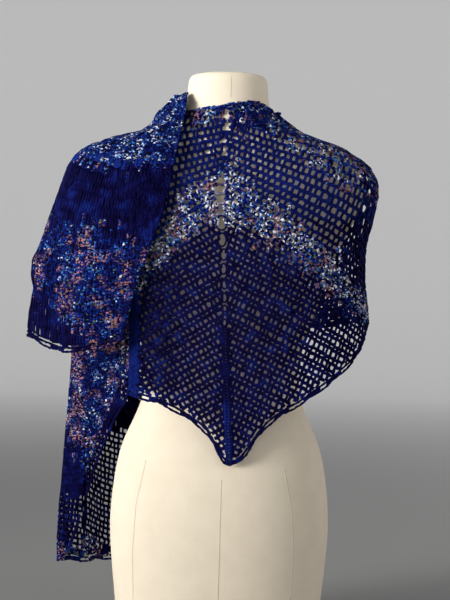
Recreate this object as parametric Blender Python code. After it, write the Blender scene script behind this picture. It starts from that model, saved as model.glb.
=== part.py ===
"""A crocheted three-cornered wrap, wound round a limbless dress form.

Metres, +Z up. The origin is the centre of the form's flat foot. The wearer's back faces -Y, so the
wearer's left is -X. The form is a loft of level rings. Each stretch of the wrap is a thin wall whose
middle follows such rings, from the shoulders, where it lies on the form, to the hem, where it hangs.
"""

import math

import bmesh
import bpy
import numpy as np
from mathutils.bvhtree import BVHTree

# Sizes in millimetres

MM = 0.001
SEAM_GAP = 0.4
CLOTH_WALL = 2.4
DENSE_WALL = 3.0
LYING_GAP = 0.9
LIFT_PASSES = 8
LIFT_SAMPLES = (0.0, 0.5, 1.0)
LIFT_ENOUGH = 0.02
NORMAL_REACH = 0.5
NORMAL_TURN = 0.005
SHARP_ANGLE = math.radians(50)

FORM_SIDES = 40
RING_COLUMNS = ("height", "half_width", "back", "front", "roundness")
FORM_RINGS = (
    (0, 149, 102, 98, 2.2),
    (45, 154, 106, 103, 2.2),
    (100, 160, 112, 109, 2.2),
    (160, 165, 117, 114, 2.2),
    (215, 161, 116, 115, 2.2),
    (270, 152, 108, 113, 2.2),
    (300, 139, 101, 109, 2.2),
    (335, 122, 90, 102, 2.2),
    (365, 116, 82, 96, 2.2),
    (395, 115, 78, 93, 2.2),
    (425, 120, 79, 97, 2.2),
    (460, 131, 83, 110, 2.2),
    (500, 145, 89, 126, 2.25),
    (540, 158, 96, 134, 2.3),
    (570, 170, 102, 130, 2.35),
    (600, 186, 107, 121, 2.4),
    (630, 200, 108, 110, 2.45),
    (655, 206, 105, 100, 2.5),
    (680, 206, 98, 92, 2.4),
    (700, 200, 91, 87, 2.25),
    (715, 185, 85, 83, 2.1),
    (727, 162, 80, 80, 2.0),
    (734, 140, 76, 78, 1.9),
    (741, 117, 73, 76, 1.9),
    (752, 94, 68, 74, 1.9),
    (767, 72, 62, 72, 2.0),
    (780, 63, 57, 70, 2.0),
    (800, 60.5, 53, 69, 2.0),
    (820, 60, 50, 69, 2.0),
    (828, 57, 47, 66, 2.0),
    (832, 50, 40, 59, 2.0),
)
NECK_TOP_ABOVE_LAST_RING = 1.5
SHOULDER_TIP_HEIGHT = 700

# The inner winding hangs from the shoulder tips, and the outer one lies over it on the wearer's left
HANGING_COLUMNS = ("height", "left", "right", "back", "front", "roundness")
INNER_HANGING = (
    (240, 225, 214, 116, 128, 2.6),
    (330, 225, 214, 114, 130, 2.6),
    (400, 228, 214, 113, 134, 2.6),
    (440, 234, 214, 113, 138, 2.6),
    (477, 240, 213, 113, 140, 2.6),
    (522, 244, 208, 114, 141, 2.55),
    (552, 242, 207, 114, 141, 2.5),
    (582, 238, 209, 114, 138, 2.5),
    (612, 234, 216, 114, 130, 2.5),
    (642, 230, 223, 112, 120, 2.5),
    (665, 226, 226, 108, 108, 2.45),
    (683, 219, 221, 101, 97, 2.4),
    (700, 206, 208, 93, 89, 2.25),
)
OUTER_HANGING = (
    (400, 280, 216, 134, 150, 2.3),
    (433, 288, 216, 134, 152, 2.3),
    (489, 284, 213, 134, 153, 2.3),
    (518, 279, 209, 133, 153, 2.3),
    (534, 287, 208, 133, 153, 2.3),
    (555, 280, 208, 132, 152, 2.3),
    (579, 271, 210, 131, 149, 2.35),
    (612, 263, 217, 129, 140, 2.4),
    (640, 253, 224, 126, 130, 2.4),
    (670, 243, 226, 120, 117, 2.4),
    (693, 235, 216, 113, 106, 2.3),
    (706, 227, 204, 106, 101, 2.25),
    (714, 219, 189, 101, 98, 2.2),
    (725, 196, 168, 96, 95, 2.1),
    (737, 158, 134, 90, 91, 2.0),
    (745, 123, 111, 84, 88, 2.0),
    (760, 111, 85, 76, 84, 2.0),
    (778, 95, 70, 69, 80, 2.0),
    (800, 66, 64, 64, 76, 2.0),
)

# Edges seen from the back: the distance from the middle, then the height
EDGE_COLUMNS = ("across", "height")
BACK_TOP_EDGE = ((-70, 772), (-33, 777), (-8, 781), (18, 783), (34, 786), (50, 784), (62, 778), (70, 776))
BACK_HEM = (
    (-230, 352),
    (-120, 352),
    (-94, 345),
    (-65, 334),
    (-37, 317),
    (-22, 306),
    (-8, 284),
    (2, 266),
    (14, 258),
    (28, 265),
    (42, 284),
    (58, 308),
    (81, 328),
    (111, 346),
    (137, 364),
    (167, 388),
    (191, 412),
    (205, 440),
    (214, 470),
)
THROWN_INNER_COLUMNS = ("height", "across")
THROWN_INNER_EDGE = (
    (410, -149),
    (425, -147),
    (442, -139),
    (478, -133),
    (521, -120),
    (564, -106),
    (614, -88),
    (679, -77),
    (736, -67),
    (779, -61),
    (800, -59),
)
THROWN_TOP = 799
THROWN_HEM_COLUMNS = ("share_across", "height")
THROWN_HEM = ((0.0, 437), (0.2, 434), (0.42, 420), (0.62, 414), (0.8, 416), (0.93, 424), (1.0, 434))

# The front edges, by bearing in degrees: 0 is the wearer's right, 90 the front and 180 the left
FRONT_EDGE_COLUMNS = ("bearing", "top", "bottom")
FRONT_EDGES = (
    (0, 776, 470),
    (25, 764, 462),
    (50, 735, 452),
    (72, 708, 446),
    (95, 692, 446),
    (118, 700, 456),
    (140, 732, 474),
    (160, 772, 498),
    (180, 799, 520),
)

# The turned-in left edge of the back stretch
FOLD_ACROSS = -121
FOLD_RADIUS = 12
FOLD_STARTS, FOLD_ENDS = 570, 475
FOLD_LEAN = 0.04
BACK_LEFT_BEARING = math.radians(-137)
JOIN_LEAVES_RIDGE, JOIN_HANGS = 725, 630

# The left wing, as level curves from its join with the back, round the left fold, to its front edge
WING_COLUMNS = ("height", "join", "hollow", "side", "fold", "front", "middle", "inner")
WING_CURVES = (
    (60, (-136, -50), (-150, -4), (-205, 30), (-250, 62), (-214, 90), (-165, 116), (-104, 132)),
    (135, (-136, -50), (-150, -4), (-205, 30), (-250, 62), (-214, 90), (-165, 116), (-104, 132)),
    (200, (-136, -50), (-150, -4), (-205, 28), (-246, 60), (-214, 89), (-165, 115), (-102, 131)),
    (305, (-136, -52), (-148, -6), (-198, 24), (-239, 56), (-211, 88), (-164, 113), (-98, 130)),
    (420, (-136, -54), (-146, -10), (-192, 18), (-232, 46), (-208, 82), (-162, 110), (-94, 130)),
    (520, (-138, -56), (-166, -24), (-206, -2), (-240, 22), (-216, 74), (-162, 110), (-92, 134)),
)
WING_BLENDS_FROM, WING_BLENDS_TO = 640, 500
WING_JOIN_GAP = 1.0
WING_JOIN_REACH = 0.3
WING_TOP = 776
WING_INNER_BEARING = 122
WING_HEM_COLUMNS = ("share_along", "height")
WING_HEM = (
    (0.0, 354),
    (0.1, 348),
    (0.2, 318),
    (0.3, 236),
    (0.38, 128),
    (0.44, 88),
    (0.55, 84),
    (0.8, 78),
    (1.0, 92),
)

# Large folds: where each runs, how far it reaches out and how wide it is
SWAG_COLUMNS = ("share_down_at_right", "share_down_at_left", "sag", "depth", "width")
FRONT_SWAGS = (
    (0.16, 0.08, 0.10, 8, 0.060),
    (0.34, 0.20, 0.16, 11, 0.075),
    (0.62, 0.33, 0.16, 7, 0.055),
    (0.80, 0.52, 0.18, 10, 0.070),
)
SWAG_FADE = 1.4
FRONT_LIES_OUTSIDE_FROM = 0.55
VALLEY_COLUMNS = ("share_across", "top", "full_from", "full_to", "gone", "depth", "width")
THROWN_VALLEYS = (
    (0.80, 790, 740, 690, 610, 8, 0.13),
    (0.46, 610, 500, 0, -1, -9, 0.12),
    (0.76, 600, 480, 0, -1, 6, 0.12),
    (0.18, 620, 540, 0, -1, 5, 0.10),
)
WING_VALLEYS = (
    (0.30, 420, 250, 0, -1, -5, 0.05),
    (0.66, 480, 300, 0, -1, -9, 0.05),
    (0.78, 480, 300, 0, -1, 9, 0.05),
    (0.90, 480, 300, 0, -1, -8, 0.05),
)

# The open eyelets along the spine
EYELET_COLUMNS = ("across", "height", "width", "tall")
SPINE_EYELETS = (
    (-1, 760, 5, 6),
    (-3, 747, 5, 6),
    (0, 729, 5, 8),
    (-2, 710, 5, 8),
    (-5, 666, 5, 9),
    (-8, 652, 6, 9),
    (-6, 639, 7, 9),
    (-6, 625, 8, 11),
    (-5, 604, 14, 19),
    (-4, 580, 10, 17),
    (-1, 559, 8, 14),
    (-1, 539, 7, 13),
    (1, 517, 6, 11),
    (1, 498, 6, 11),
    (2, 483, 5, 7),
    (2, 463, 4.4, 8),
)
EYELET_SIDES = 8
EYELET_CUT_BEHIND, EYELET_CUT_BEFORE = -150, -40

# The back and the wing share a join, so they have as many rows
WIDE_ROWS = 23

# Where the columns of the grids lie evenly, and how much closer they are at the tip
BACK_EVEN_AT = 450
FRONT_EVEN_AT = 600
THROWN_EVEN_AT = 550
THROWN_EVEN_TO = -110
RING_SAMPLES = 721
TRACK_SAMPLES = 160
MEETING_STEPS = 30
TOP_GUESS, HEM_GUESS = 778, 350
CROWDING = 0.9
CROWD_WIDTH = 34
TIP_ACROSS = 14

# The crocheted edging: its width, how far its scallops swing and the open loop in each
EDGING_WIDTH = 10
EDGING_GAP = 0.8
SCALLOP_LENGTH = 50
SCALLOP_DEPTH = 5
EDGING_WALL = 2.6
LOOP_SHARES = (0.30, 0.74)
SCALLOP_ROUNDNESS = 0.7

COLOURS = {
    "form": (0.80, 0.74, 0.62, 1.0),
    "navy": (0.012, 0.016, 0.16, 1.0),
    "royal": (0.02, 0.05, 0.36, 1.0),
    "speckled": (0.09, 0.13, 0.40, 1.0),
}
COVER_ROUGHNESS = 0.8
YARN_ROUGHNESS = 0.75


# Reading the tables


def smooth_reader(places, values):
    """A curve through the values that never overshoots them, as a function of place."""
    places = np.asarray(places, float)
    values = np.asarray(values, float)
    if values.ndim == 1:
        values = values[:, None]
    step = np.diff(places)[:, None]
    slope = np.diff(values, axis=0) / step
    knot = np.zeros_like(values)
    knot[0] = slope[0]
    knot[-1] = slope[-1]
    before, after = slope[:-1], slope[1:]
    weight_a = 2 * step[1:] + step[:-1]
    weight_b = step[1:] + 2 * step[:-1]
    same_way = before * after > 0
    safe_before = np.where(same_way, before, 1.0)
    safe_after = np.where(same_way, after, 1.0)
    mean = (weight_a + weight_b) / (weight_a / safe_before + weight_b / safe_after)
    knot[1:-1] = np.where(same_way, mean, 0.0)

    def read(at):
        at = np.clip(np.asarray(at, float), places[0], places[-1])
        span = np.clip(np.searchsorted(places, at, side="right") - 1, 0, len(places) - 2)
        width = step[span, 0]
        part = (at - places[span]) / width
        part = part[..., None]
        width = width[..., None]
        start, end = values[span], values[span + 1]
        found = (
            start * (1 + 2 * part) * (1 - part) ** 2
            + end * part**2 * (3 - 2 * part)
            + knot[span] * width * part * (1 - part) ** 2
            - knot[span + 1] * width * part**2 * (1 - part)
        )
        return found[..., 0] if found.shape[-1] == 1 else found

    return read


def edge_reader(rows):
    """An edge table as a function of its first column."""
    return smooth_reader([row[0] for row in rows], [row[1:] for row in rows])


def smooth_step(value, start, end):
    part = np.clip((np.asarray(value, float) - start) / (end - start), 0.0, 1.0)
    return part * part * (3 - 2 * part)


# The lofts


def loft_of(rows):
    """A loft through level rings: a function of height and bearing that gives a point."""
    read = smooth_reader([row[0] for row in rows], [row[1:] for row in rows])

    def point(height, bearing):
        left, right, back, front, roundness = np.moveaxis(read(height), -1, 0)
        cosine, sine = np.cos(bearing), np.sin(bearing)
        half_width = np.where(cosine < 0, left, right)
        half_depth = np.where(sine < 0, back, front)
        across = half_width * np.sign(cosine) * np.abs(cosine) ** (2 / roundness)
        along = half_depth * np.sign(sine) * np.abs(sine) ** (2 / roundness)
        return np.stack(np.broadcast_arrays(across, along, np.asarray(height, float)), -1)

    point.read = read
    return point


def normal_of(point, height, bearing):
    """The loft's outward normal, from points close by."""
    along = point(height, bearing + NORMAL_TURN) - point(height, bearing - NORMAL_TURN)
    upward = point(height + NORMAL_REACH, bearing) - point(height - NORMAL_REACH, bearing)
    normal = np.cross(along, upward)
    return normal / np.maximum(np.linalg.norm(normal, axis=-1, keepdims=True), 1e-9)


def even_sided(rows):
    """Form rings with the same half width on both sides."""
    return [(height, half, half, back, front, power) for height, half, back, front, power in rows]


SHOULDER_RINGS = [row for row in even_sided(FORM_RINGS) if row[0] > SHOULDER_TIP_HEIGHT]
form_loft = loft_of(even_sided(FORM_RINGS))
inner_loft = loft_of(list(INNER_HANGING) + SHOULDER_RINGS)
outer_loft = loft_of(OUTER_HANGING)


def bearing_at(loft, height, across, side):
    """The bearing, on the back (-1) or front (+1) of a loft, where a ring is this far across."""
    left, right, _, _, roundness = np.moveaxis(loft.read(height), -1, 0)
    half_width = np.where(across < 0, left, right)
    share = np.clip(np.abs(across) / half_width, 0.0, 1.0)
    turned = np.arccos(share ** (roundness / 2))
    turned = np.where(across < 0, math.pi - turned, turned)
    return side * turned


def even_shares(loft, height, start, end, count, crowd_at=None):
    """Shares of a bearing range that lie evenly round a ring, or closer round one place across."""
    shares = np.linspace(0.0, 1.0, RING_SAMPLES)
    ring = loft(np.full(len(shares), float(height)), start + (end - start) * shares)
    steps = np.linalg.norm(np.diff(ring, axis=0), axis=1)
    if crowd_at is not None:
        middle = (ring[1:, 0] + ring[:-1, 0]) / 2
        steps = steps * (1 + CROWDING * np.exp(-(((middle - crowd_at) / CROWD_WIDTH) ** 2)))
    length = np.concatenate([[0.0], np.cumsum(steps)])
    return np.interp(np.linspace(0.0, length[-1], count + 1), length, shares)


# Meshes


def even_rows(track, top, bottom, rows):
    """Points spaced evenly along track(height) from top to bottom."""
    heights = np.linspace(top, bottom, TRACK_SAMPLES)
    points = track(heights)
    steps = np.linalg.norm(np.diff(points, axis=0), axis=1)
    length = np.concatenate([[0.0], np.cumsum(steps)])
    wanted = np.linspace(0.0, length[-1], rows + 1)
    return np.stack([np.interp(wanted, length, points[:, axis]) for axis in range(3)], -1)


def grid_normals(grid):
    """Smooth normals of a grid of points, columns first."""
    across = np.gradient(grid, axis=0)
    down = np.gradient(grid, axis=1)
    normal = np.cross(down, across)
    return normal / np.maximum(np.linalg.norm(normal, axis=-1, keepdims=True), 1e-9)


def lifted_clear(grid, obstacle, gap):
    """Moves a grid's points out along its normals until the cloth between them clears an obstacle."""
    lifted = grid.copy()
    for _ in range(LIFT_PASSES):
        push = np.zeros(grid.shape[:2])
        for column, row in np.ndindex(grid.shape[0] - 1, grid.shape[1] - 1):
            corners = lifted[column : column + 2, row : row + 2]
            deepest = 0.0
            for across in LIFT_SAMPLES:
                for down in LIFT_SAMPLES:
                    start = corners[0, 0] * (1 - across) + corners[1, 0] * across
                    end = corners[0, 1] * (1 - across) + corners[1, 1] * across
                    place = (start * (1 - down) + end * down) * MM
                    near, facing, _, distance = obstacle.find_nearest(place)
                    outside = np.dot(place - np.asarray(near), facing) > 0
                    deepest = max(deepest, gap - (distance if outside else -distance) / MM)
            around = push[column : column + 2, row : row + 2]
            push[column : column + 2, row : row + 2] = np.maximum(around, deepest)
        if push.max() < LIFT_ENOUGH:
            break
        lifted = lifted + grid_normals(lifted) * push[..., None]
    return lifted


def flat_seam(grid, normals, column, along):
    """Puts one column of a grid, and its wall, in the level plane of a seam with its neighbour."""
    grid[column, :, 1] = along
    normals[column, :, 1] = 0.0
    normals[column] /= np.linalg.norm(normals[column], axis=1, keepdims=True)


def joined_to(grid, normals, other, other_normals):
    """Puts the last column of a grid beside the first column of its neighbour, row by row."""
    away = other[0] - other[1]
    away = away / np.linalg.norm(away, axis=1, keepdims=True)
    grid[-1] = other[0] + away * WING_JOIN_GAP
    normals[-1] = other_normals[0]


def material_named(name, colour, roughness):
    material = bpy.data.materials.new(name)
    material.use_nodes = True
    shader = material.node_tree.nodes["Principled BSDF"]
    shader.inputs["Base Color"].default_value = colour
    shader.inputs["Roughness"].default_value = roughness
    shader.inputs["Metallic"].default_value = 0.0
    return material


def object_from(name, vertices, faces, material):
    """A named object whose faces point outwards."""
    mesh = bpy.data.meshes.new(name)
    shape = bmesh.new()
    made = [shape.verts.new(tuple(float(part) * MM for part in vertex)) for vertex in vertices]
    for face in faces:
        shape.faces.new([made[corner] for corner in face])
    bmesh.ops.recalc_face_normals(shape, faces=shape.faces)
    shape.to_mesh(mesh)
    shape.free()
    mesh.shade_smooth()
    mesh.set_sharp_from_angle(angle=SHARP_ANGLE)
    mesh.materials.append(material)
    thing = bpy.data.objects.new(name, mesh)
    bpy.context.scene.collection.objects.link(thing)
    return thing


def wall_from(name, grid, normals, wall, material, left_out=()):
    """A closed wall round a grid of points, with the cells in left_out cut through."""
    columns, rows = grid.shape[0], grid.shape[1]
    outside = (grid + normals * wall / 2).reshape(-1, 3)
    inside = (grid - normals * wall / 2).reshape(-1, 3)
    half = len(outside)
    cut = set(left_out)

    def corner(column, row):
        return column * rows + row

    def solid_cell(column, row):
        inside_grid = 0 <= column < columns - 1 and 0 <= row < rows - 1
        return inside_grid and (column, row) not in cut

    faces = []
    for column in range(columns - 1):
        for row in range(rows - 1):
            if not solid_cell(column, row):
                continue
            a, b = corner(column, row), corner(column + 1, row)
            c, d = corner(column + 1, row + 1), corner(column, row + 1)
            faces.append((a, d, c, b))
            faces.append((a + half, b + half, c + half, d + half))
            sides = (
                ((column, row - 1), a, b),
                ((column + 1, row), b, c),
                ((column, row + 1), c, d),
                ((column - 1, row), d, a),
            )
            for beyond, start, end in sides:
                if not solid_cell(*beyond):
                    faces.append((start, end, end + half, start + half))
    used = sorted({index for face in faces for index in face})
    place = {index: new for new, index in enumerate(used)}
    vertices = np.concatenate([outside, inside])[used]
    faces = [tuple(place[index] for index in face) for face in faces]
    return object_from(name, vertices, faces, material)


def surface_tree(thing):
    """The closed surface of an object, for finding the nearest point on it."""
    shape = bmesh.new()
    shape.from_mesh(thing.data)
    tree = BVHTree.FromBMesh(shape)
    shape.free()
    return tree


# The dress form


def make_form(material):
    """The whole form, closed by its flat foot and its softly rounded neck cap."""
    heights = [row[0] for row in FORM_RINGS]
    bearings = np.linspace(0, 2 * math.pi, FORM_SIDES, endpoint=False)
    vertices = []
    for height in heights:
        vertices.extend(form_loft(np.full(FORM_SIDES, float(height)), bearings))
    foot_centre = len(vertices)
    vertices.append(np.array((0.0, 0.0, heights[0])))
    cap_ring = form_loft(np.full(FORM_SIDES, float(heights[-1])), bearings)
    vertices.append(cap_ring.mean(axis=0) + np.array((0.0, 0.0, NECK_TOP_ABOVE_LAST_RING)))
    faces = []
    for level in range(len(heights) - 1):
        for side in range(FORM_SIDES):
            beside = (side + 1) % FORM_SIDES
            low, high = level * FORM_SIDES, (level + 1) * FORM_SIDES
            faces.append((low + side, low + beside, high + beside, high + side))
    last = (len(heights) - 1) * FORM_SIDES
    for side in range(FORM_SIDES):
        beside = (side + 1) % FORM_SIDES
        faces.append((foot_centre, beside, side))
        faces.append((foot_centre + 1, last + side, last + beside))
    return object_from("form_body", vertices, faces, material)


# The stretches of the wrap, as grids of points at the middle of the cloth


def fold_under(points):
    """Turns the left edge of the back stretch forwards, round a soft fold, lower than the blades."""
    turned = points.copy()
    excess = np.maximum(FOLD_ACROSS - points[..., 0], 0.0)
    quarter = FOLD_RADIUS * math.pi / 2
    angle = np.minimum(excess, quarter) / FOLD_RADIUS
    straight = np.maximum(excess - quarter, 0.0)
    corner = inner_loft(points[..., 2], bearing_at(inner_loft, points[..., 2], FOLD_ACROSS, -1.0))
    turned[..., 0] = FOLD_ACROSS - FOLD_RADIUS * np.sin(angle) - FOLD_LEAN * straight
    turned[..., 1] = corner[..., 1] + FOLD_RADIUS * (1 - np.cos(angle)) + straight
    weight = smooth_step(points[..., 2], FOLD_STARTS, FOLD_ENDS) * (excess > 0)
    return points + (turned - points) * weight[..., None]


def back_start(height):
    """The bearing of the left edge of the back stretch: on the shoulder ridge, then down the blade."""
    turned = smooth_step(height, JOIN_LEAVES_RIDGE, JOIN_HANGS)
    return -math.pi + (math.pi + BACK_LEFT_BEARING) * turned


def back_point(share, height):
    """The back stretch: share runs from its left edge, 0, to the wearer's right side, 1."""
    bearing = back_start(height) * (1 - share)
    lying = inner_loft(height, bearing)
    lying = lying + normal_of(inner_loft, height, bearing) * (LYING_GAP + CLOTH_WALL / 2)
    return fold_under(lying)


def across_of_back(share, height):
    return float(inner_loft(height, back_start(height) * (1 - share))[..., 0])


def meeting_height(share, edge, guess):
    """The height at which a column of the back stretch crosses an edge."""
    height = guess
    for _ in range(MEETING_STEPS):
        height = 0.5 * height + 0.5 * float(edge(across_of_back(share, np.asarray(height))))
    return height


def back_grid(columns=32, rows=WIDE_ROWS):
    top_edge, hem = edge_reader(BACK_TOP_EDGE), edge_reader(BACK_HEM)
    grid = []
    for share in even_shares(inner_loft, BACK_EVEN_AT, BACK_LEFT_BEARING, 0.0, columns, TIP_ACROSS):
        top = meeting_height(share, top_edge, TOP_GUESS)
        bottom = meeting_height(share, hem, HEM_GUESS) + EDGING_WIDTH
        grid.append(even_rows(lambda height: back_point(share, height), top, bottom, rows))
    return np.array(grid)


def swag_push(share, down):
    """How far the front's hanging folds swell: each sags from the right side to the left shoulder."""
    push = np.zeros(np.shape(down))
    for at_right, at_left, sag, depth, width in FRONT_SWAGS:
        middle = at_right + (at_left - at_right) * share + sag * math.sin(math.pi * share)
        push = push + depth * np.exp(-(((down - middle) / width) ** 2))
    return push * math.sin(math.pi * share) ** SWAG_FADE


def front_point(share, height, top, bottom):
    """The front stretch: share runs from the wearer's right side, 0, to the left, 1."""
    bearing = math.pi * share
    inner = inner_loft(height, bearing)
    inner = inner + normal_of(inner_loft, height, bearing) * (LYING_GAP + CLOTH_WALL / 2)
    outer = outer_loft(height, bearing)
    over = smooth_step(share, 0.0, FRONT_LIES_OUTSIDE_FROM)
    mixed = inner + (outer - inner) * over
    push = swag_push(share, (top - height) / (top - bottom))
    return mixed + normal_of(outer_loft, height, bearing) * push[..., None]


def front_grid(columns=28, rows=14):
    edges = edge_reader(FRONT_EDGES)
    grid = []
    for share in even_shares(outer_loft, FRONT_EVEN_AT, 0.0, math.pi, columns):
        top, bottom = edges(math.degrees(math.pi * share))
        bottom = bottom + EDGING_WIDTH
        grid.append(even_rows(lambda height: front_point(share, height, top, bottom), top, bottom, rows))
    return np.array(grid)


def valley_push(share, height, valleys):
    """How far the large folds push the cloth out, or in."""
    push = np.zeros(np.shape(height))
    for place, top, full_from, full_to, gone, depth, width in valleys:
        grown = smooth_step(height, top, full_from) * (1 - smooth_step(height, full_to, gone))
        push = push + depth * grown * np.exp(-(((share - place) / width) ** 2))
    return push


THROWN_INNER_READER = edge_reader(THROWN_INNER_EDGE)


def thrown_point(share, height):
    """The thrown end: share runs from the left side, 0, to its edge beside the spine, 1."""
    end = bearing_at(outer_loft, height, THROWN_INNER_READER(height), -1.0)
    bearing = -math.pi + (end + math.pi) * share
    lying = outer_loft(height, bearing)
    push = valley_push(share, height, THROWN_VALLEYS)
    return lying + normal_of(outer_loft, height, bearing) * push[..., None]


def thrown_grid(columns=14, rows=22):
    hem = edge_reader(THROWN_HEM)
    end = float(bearing_at(outer_loft, THROWN_EVEN_AT, THROWN_EVEN_TO, -1.0))
    grid = []
    for share in even_shares(outer_loft, THROWN_EVEN_AT, -math.pi, end, columns):
        bottom = float(hem(share)) + EDGING_WIDTH
        grid.append(even_rows(lambda height: thrown_point(share, height), THROWN_TOP, bottom, rows))
    return np.array(grid)


WING_STATIONS = len(WING_COLUMNS) - 1
LAST_SPAN_END = 1.0 - 1e-6
WING_READER = smooth_reader(
    [row[0] for row in WING_CURVES],
    [[part for station in row[1:] for part in station] for row in WING_CURVES],
)


def rounded_curve(stations, share):
    """A smooth curve through stations that are spaced evenly by share."""
    count = len(stations)
    padded = np.concatenate([[2 * stations[0] - stations[1]], stations, [2 * stations[-1] - stations[-2]]])
    place = min(share, LAST_SPAN_END) * (count - 1)
    span = int(place)
    part = place - span
    a, b, c, d = padded[span], padded[span + 1], padded[span + 2], padded[span + 3]
    return 0.5 * (
        2 * b
        + (c - a) * part
        + (2 * a - 5 * b + 4 * c - d) * part**2
        + (3 * b - 3 * c + d - a) * part**3
    )


def wing_hanging(share, height):
    """Where the wing hangs free, as a level curve through its stations."""
    stations = WING_READER(height).reshape(-1, WING_STATIONS, 2)
    flat = np.array([rounded_curve(row, share) for row in stations])
    return np.concatenate([flat, np.asarray(height, float).reshape(-1, 1)], axis=1)


def wing_lying(share, height):
    """Where the wing lies on the shoulder: from its join with the back, round to its front edge."""
    start = back_start(height) + 2 * math.pi
    end = math.radians(WING_INNER_BEARING)
    bearing = start + (end - start) * share
    lying = inner_loft(height, bearing)
    return lying + normal_of(inner_loft, height, bearing) * (LYING_GAP + CLOTH_WALL / 2)


def wing_point(share, height):
    """The left wing, drawn to the edge of the back stretch where the two join."""
    weight = smooth_step(height, WING_BLENDS_FROM, WING_BLENDS_TO)[..., None]

    def free(place):
        return wing_lying(place, height) * (1 - weight) + wing_hanging(place, height) * weight

    near = (1 - smooth_step(share, 0.0, WING_JOIN_REACH)) * (back_point(0.0, height) - free(0.0))
    return free(share) + near


def wing_grid(columns=24, rows=WIDE_ROWS):
    """The wing's points, from its front edge to its join with the back, so that its wall faces out."""
    hem = edge_reader(WING_HEM)
    shares = np.linspace(1.0, 0.0, columns + 1)
    grid = []
    for share in shares:
        bottom = float(hem(share)) + EDGING_WIDTH
        grid.append(even_rows(lambda height: wing_point(share, height), WING_TOP, bottom, rows))
    grid = np.array(grid)
    normals = grid_normals(grid)
    for column, share in enumerate(shares):
        push = valley_push(share, grid[column, :, 2], WING_VALLEYS)
        grid[column] = grid[column] + normals[column] * push[:, None]
    return grid


# The edging


def make_edging(name, grid, normals, material, first, last, per_column=2):
    """A scalloped strip along the foot of a grid, from one column to another, with open loops."""
    foot = grid[first : last + 1, -1]
    fall = grid[first : last + 1, -1] - grid[first : last + 1, -2]
    fall = fall / np.linalg.norm(fall, axis=1, keepdims=True)
    facing = normals[first : last + 1, -1]
    count = (last - first) * per_column
    places = np.linspace(0.0, last - first, count + 1)
    whole = np.arange(last - first + 1)

    def between(values):
        return np.stack([np.interp(places, whole, values[:, axis]) for axis in range(3)], -1)

    foot, fall, facing = between(foot), between(fall), between(facing)
    length = np.concatenate([[0.0], np.cumsum(np.linalg.norm(np.diff(foot, axis=0), axis=1))])
    scallops = max(1, round(length[-1] / SCALLOP_LENGTH))
    phase = length / length[-1] * scallops
    swing = np.abs(np.sin(math.pi * phase)) ** SCALLOP_ROUNDNESS
    reach = EDGING_WIDTH - SCALLOP_DEPTH * (1 - swing)
    shares = (0.0,) + LOOP_SHARES + (1.0,)
    strip = np.stack(
        [foot + fall * (EDGING_GAP + (reach - EDGING_GAP) * share)[:, None] for share in shares], 1
    )
    facings = np.repeat(facing[:, None, :], len(shares), axis=1)
    loops = []
    for column in range(1, count - 1):
        middle = (phase[column] + phase[column + 1]) / 2 % 1.0
        step = phase[column + 1] - phase[column]
        if abs(middle - 0.5) <= step * 0.5 and swing[column] > 0.5:
            loops.append((column, 1))
    return wall_from(name, strip, facings, EDGING_WALL, material, loops)


# The eyelets


def cut_eyelets(cloth):
    """Cuts the row of open eyelets along the spine through the cloth."""
    vertices, faces = [], []
    for across, height, width, tall in SPINE_EYELETS:
        start = len(vertices)
        for depth in (EYELET_CUT_BEHIND, EYELET_CUT_BEFORE):
            for side in range(EYELET_SIDES):
                turn = 2 * math.pi * side / EYELET_SIDES
                aside, raised = width / 2 * math.cos(turn), tall / 2 * math.sin(turn)
                vertices.append((across + aside, depth, height + raised))
        near = list(range(start, start + EYELET_SIDES))
        far = [index + EYELET_SIDES for index in near]
        faces.append(tuple(near))
        faces.append(tuple(reversed(far)))
        for side in range(EYELET_SIDES):
            beside = (side + 1) % EYELET_SIDES
            faces.append((near[beside], near[side], far[side], far[beside]))
    cutter = object_from("eyelet_cutter", vertices, faces, cloth.data.materials[0])
    cutter.hide_render = True
    cutter.display_type = "WIRE"
    cut = cloth.modifiers.new("spine eyelets", "BOOLEAN")
    cut.operation = "DIFFERENCE"
    cut.object = cutter


# The whole


def main():
    for thing in list(bpy.data.objects):
        bpy.data.objects.remove(thing, do_unlink=True)
    form_cover = material_named("form cover", COLOURS["form"], COVER_ROUGHNESS)
    navy = material_named("navy yarn", COLOURS["navy"], YARN_ROUGHNESS)
    royal = material_named("royal yarn", COLOURS["royal"], YARN_ROUGHNESS)
    speckled = material_named("speckled yarn", COLOURS["speckled"], YARN_ROUGHNESS)
    obstacle = surface_tree(make_form(form_cover))
    clear = LYING_GAP + CLOTH_WALL / 2
    seam = SEAM_GAP / 2

    back = lifted_clear(back_grid(), obstacle, clear)
    back_facing = grid_normals(back)
    flat_seam(back, back_facing, -1, -seam)
    cloth = wall_from("wrap_back", back, back_facing, CLOTH_WALL, navy)
    cut_eyelets(cloth)
    make_edging("wrap_back_edging", back, back_facing, royal, 3, len(back) - 1)

    front = lifted_clear(front_grid(), obstacle, clear)
    facing = grid_normals(front)
    flat_seam(front, facing, 0, seam)
    flat_seam(front, facing, -1, seam)
    wall_from("wrap_front", front, facing, CLOTH_WALL, navy)
    make_edging("wrap_front_edging", front, facing, royal, 0, len(front) - 1)

    wing = lifted_clear(wing_grid(), obstacle, clear)
    facing = grid_normals(wing)
    joined_to(wing, facing, back, back_facing)
    wall_from("wrap_left_wing", wing, facing, CLOTH_WALL, speckled)
    make_edging("wrap_left_wing_edging", wing, facing, royal, 0, len(wing) - 3)

    thrown = thrown_grid()
    facing = grid_normals(thrown)
    flat_seam(thrown, facing, 0, -seam)
    wall_from("wrap_thrown_end", thrown, facing, DENSE_WALL, speckled)
    make_edging("wrap_thrown_end_edging", thrown, facing, royal, 0, len(thrown) - 1)


main()
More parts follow.
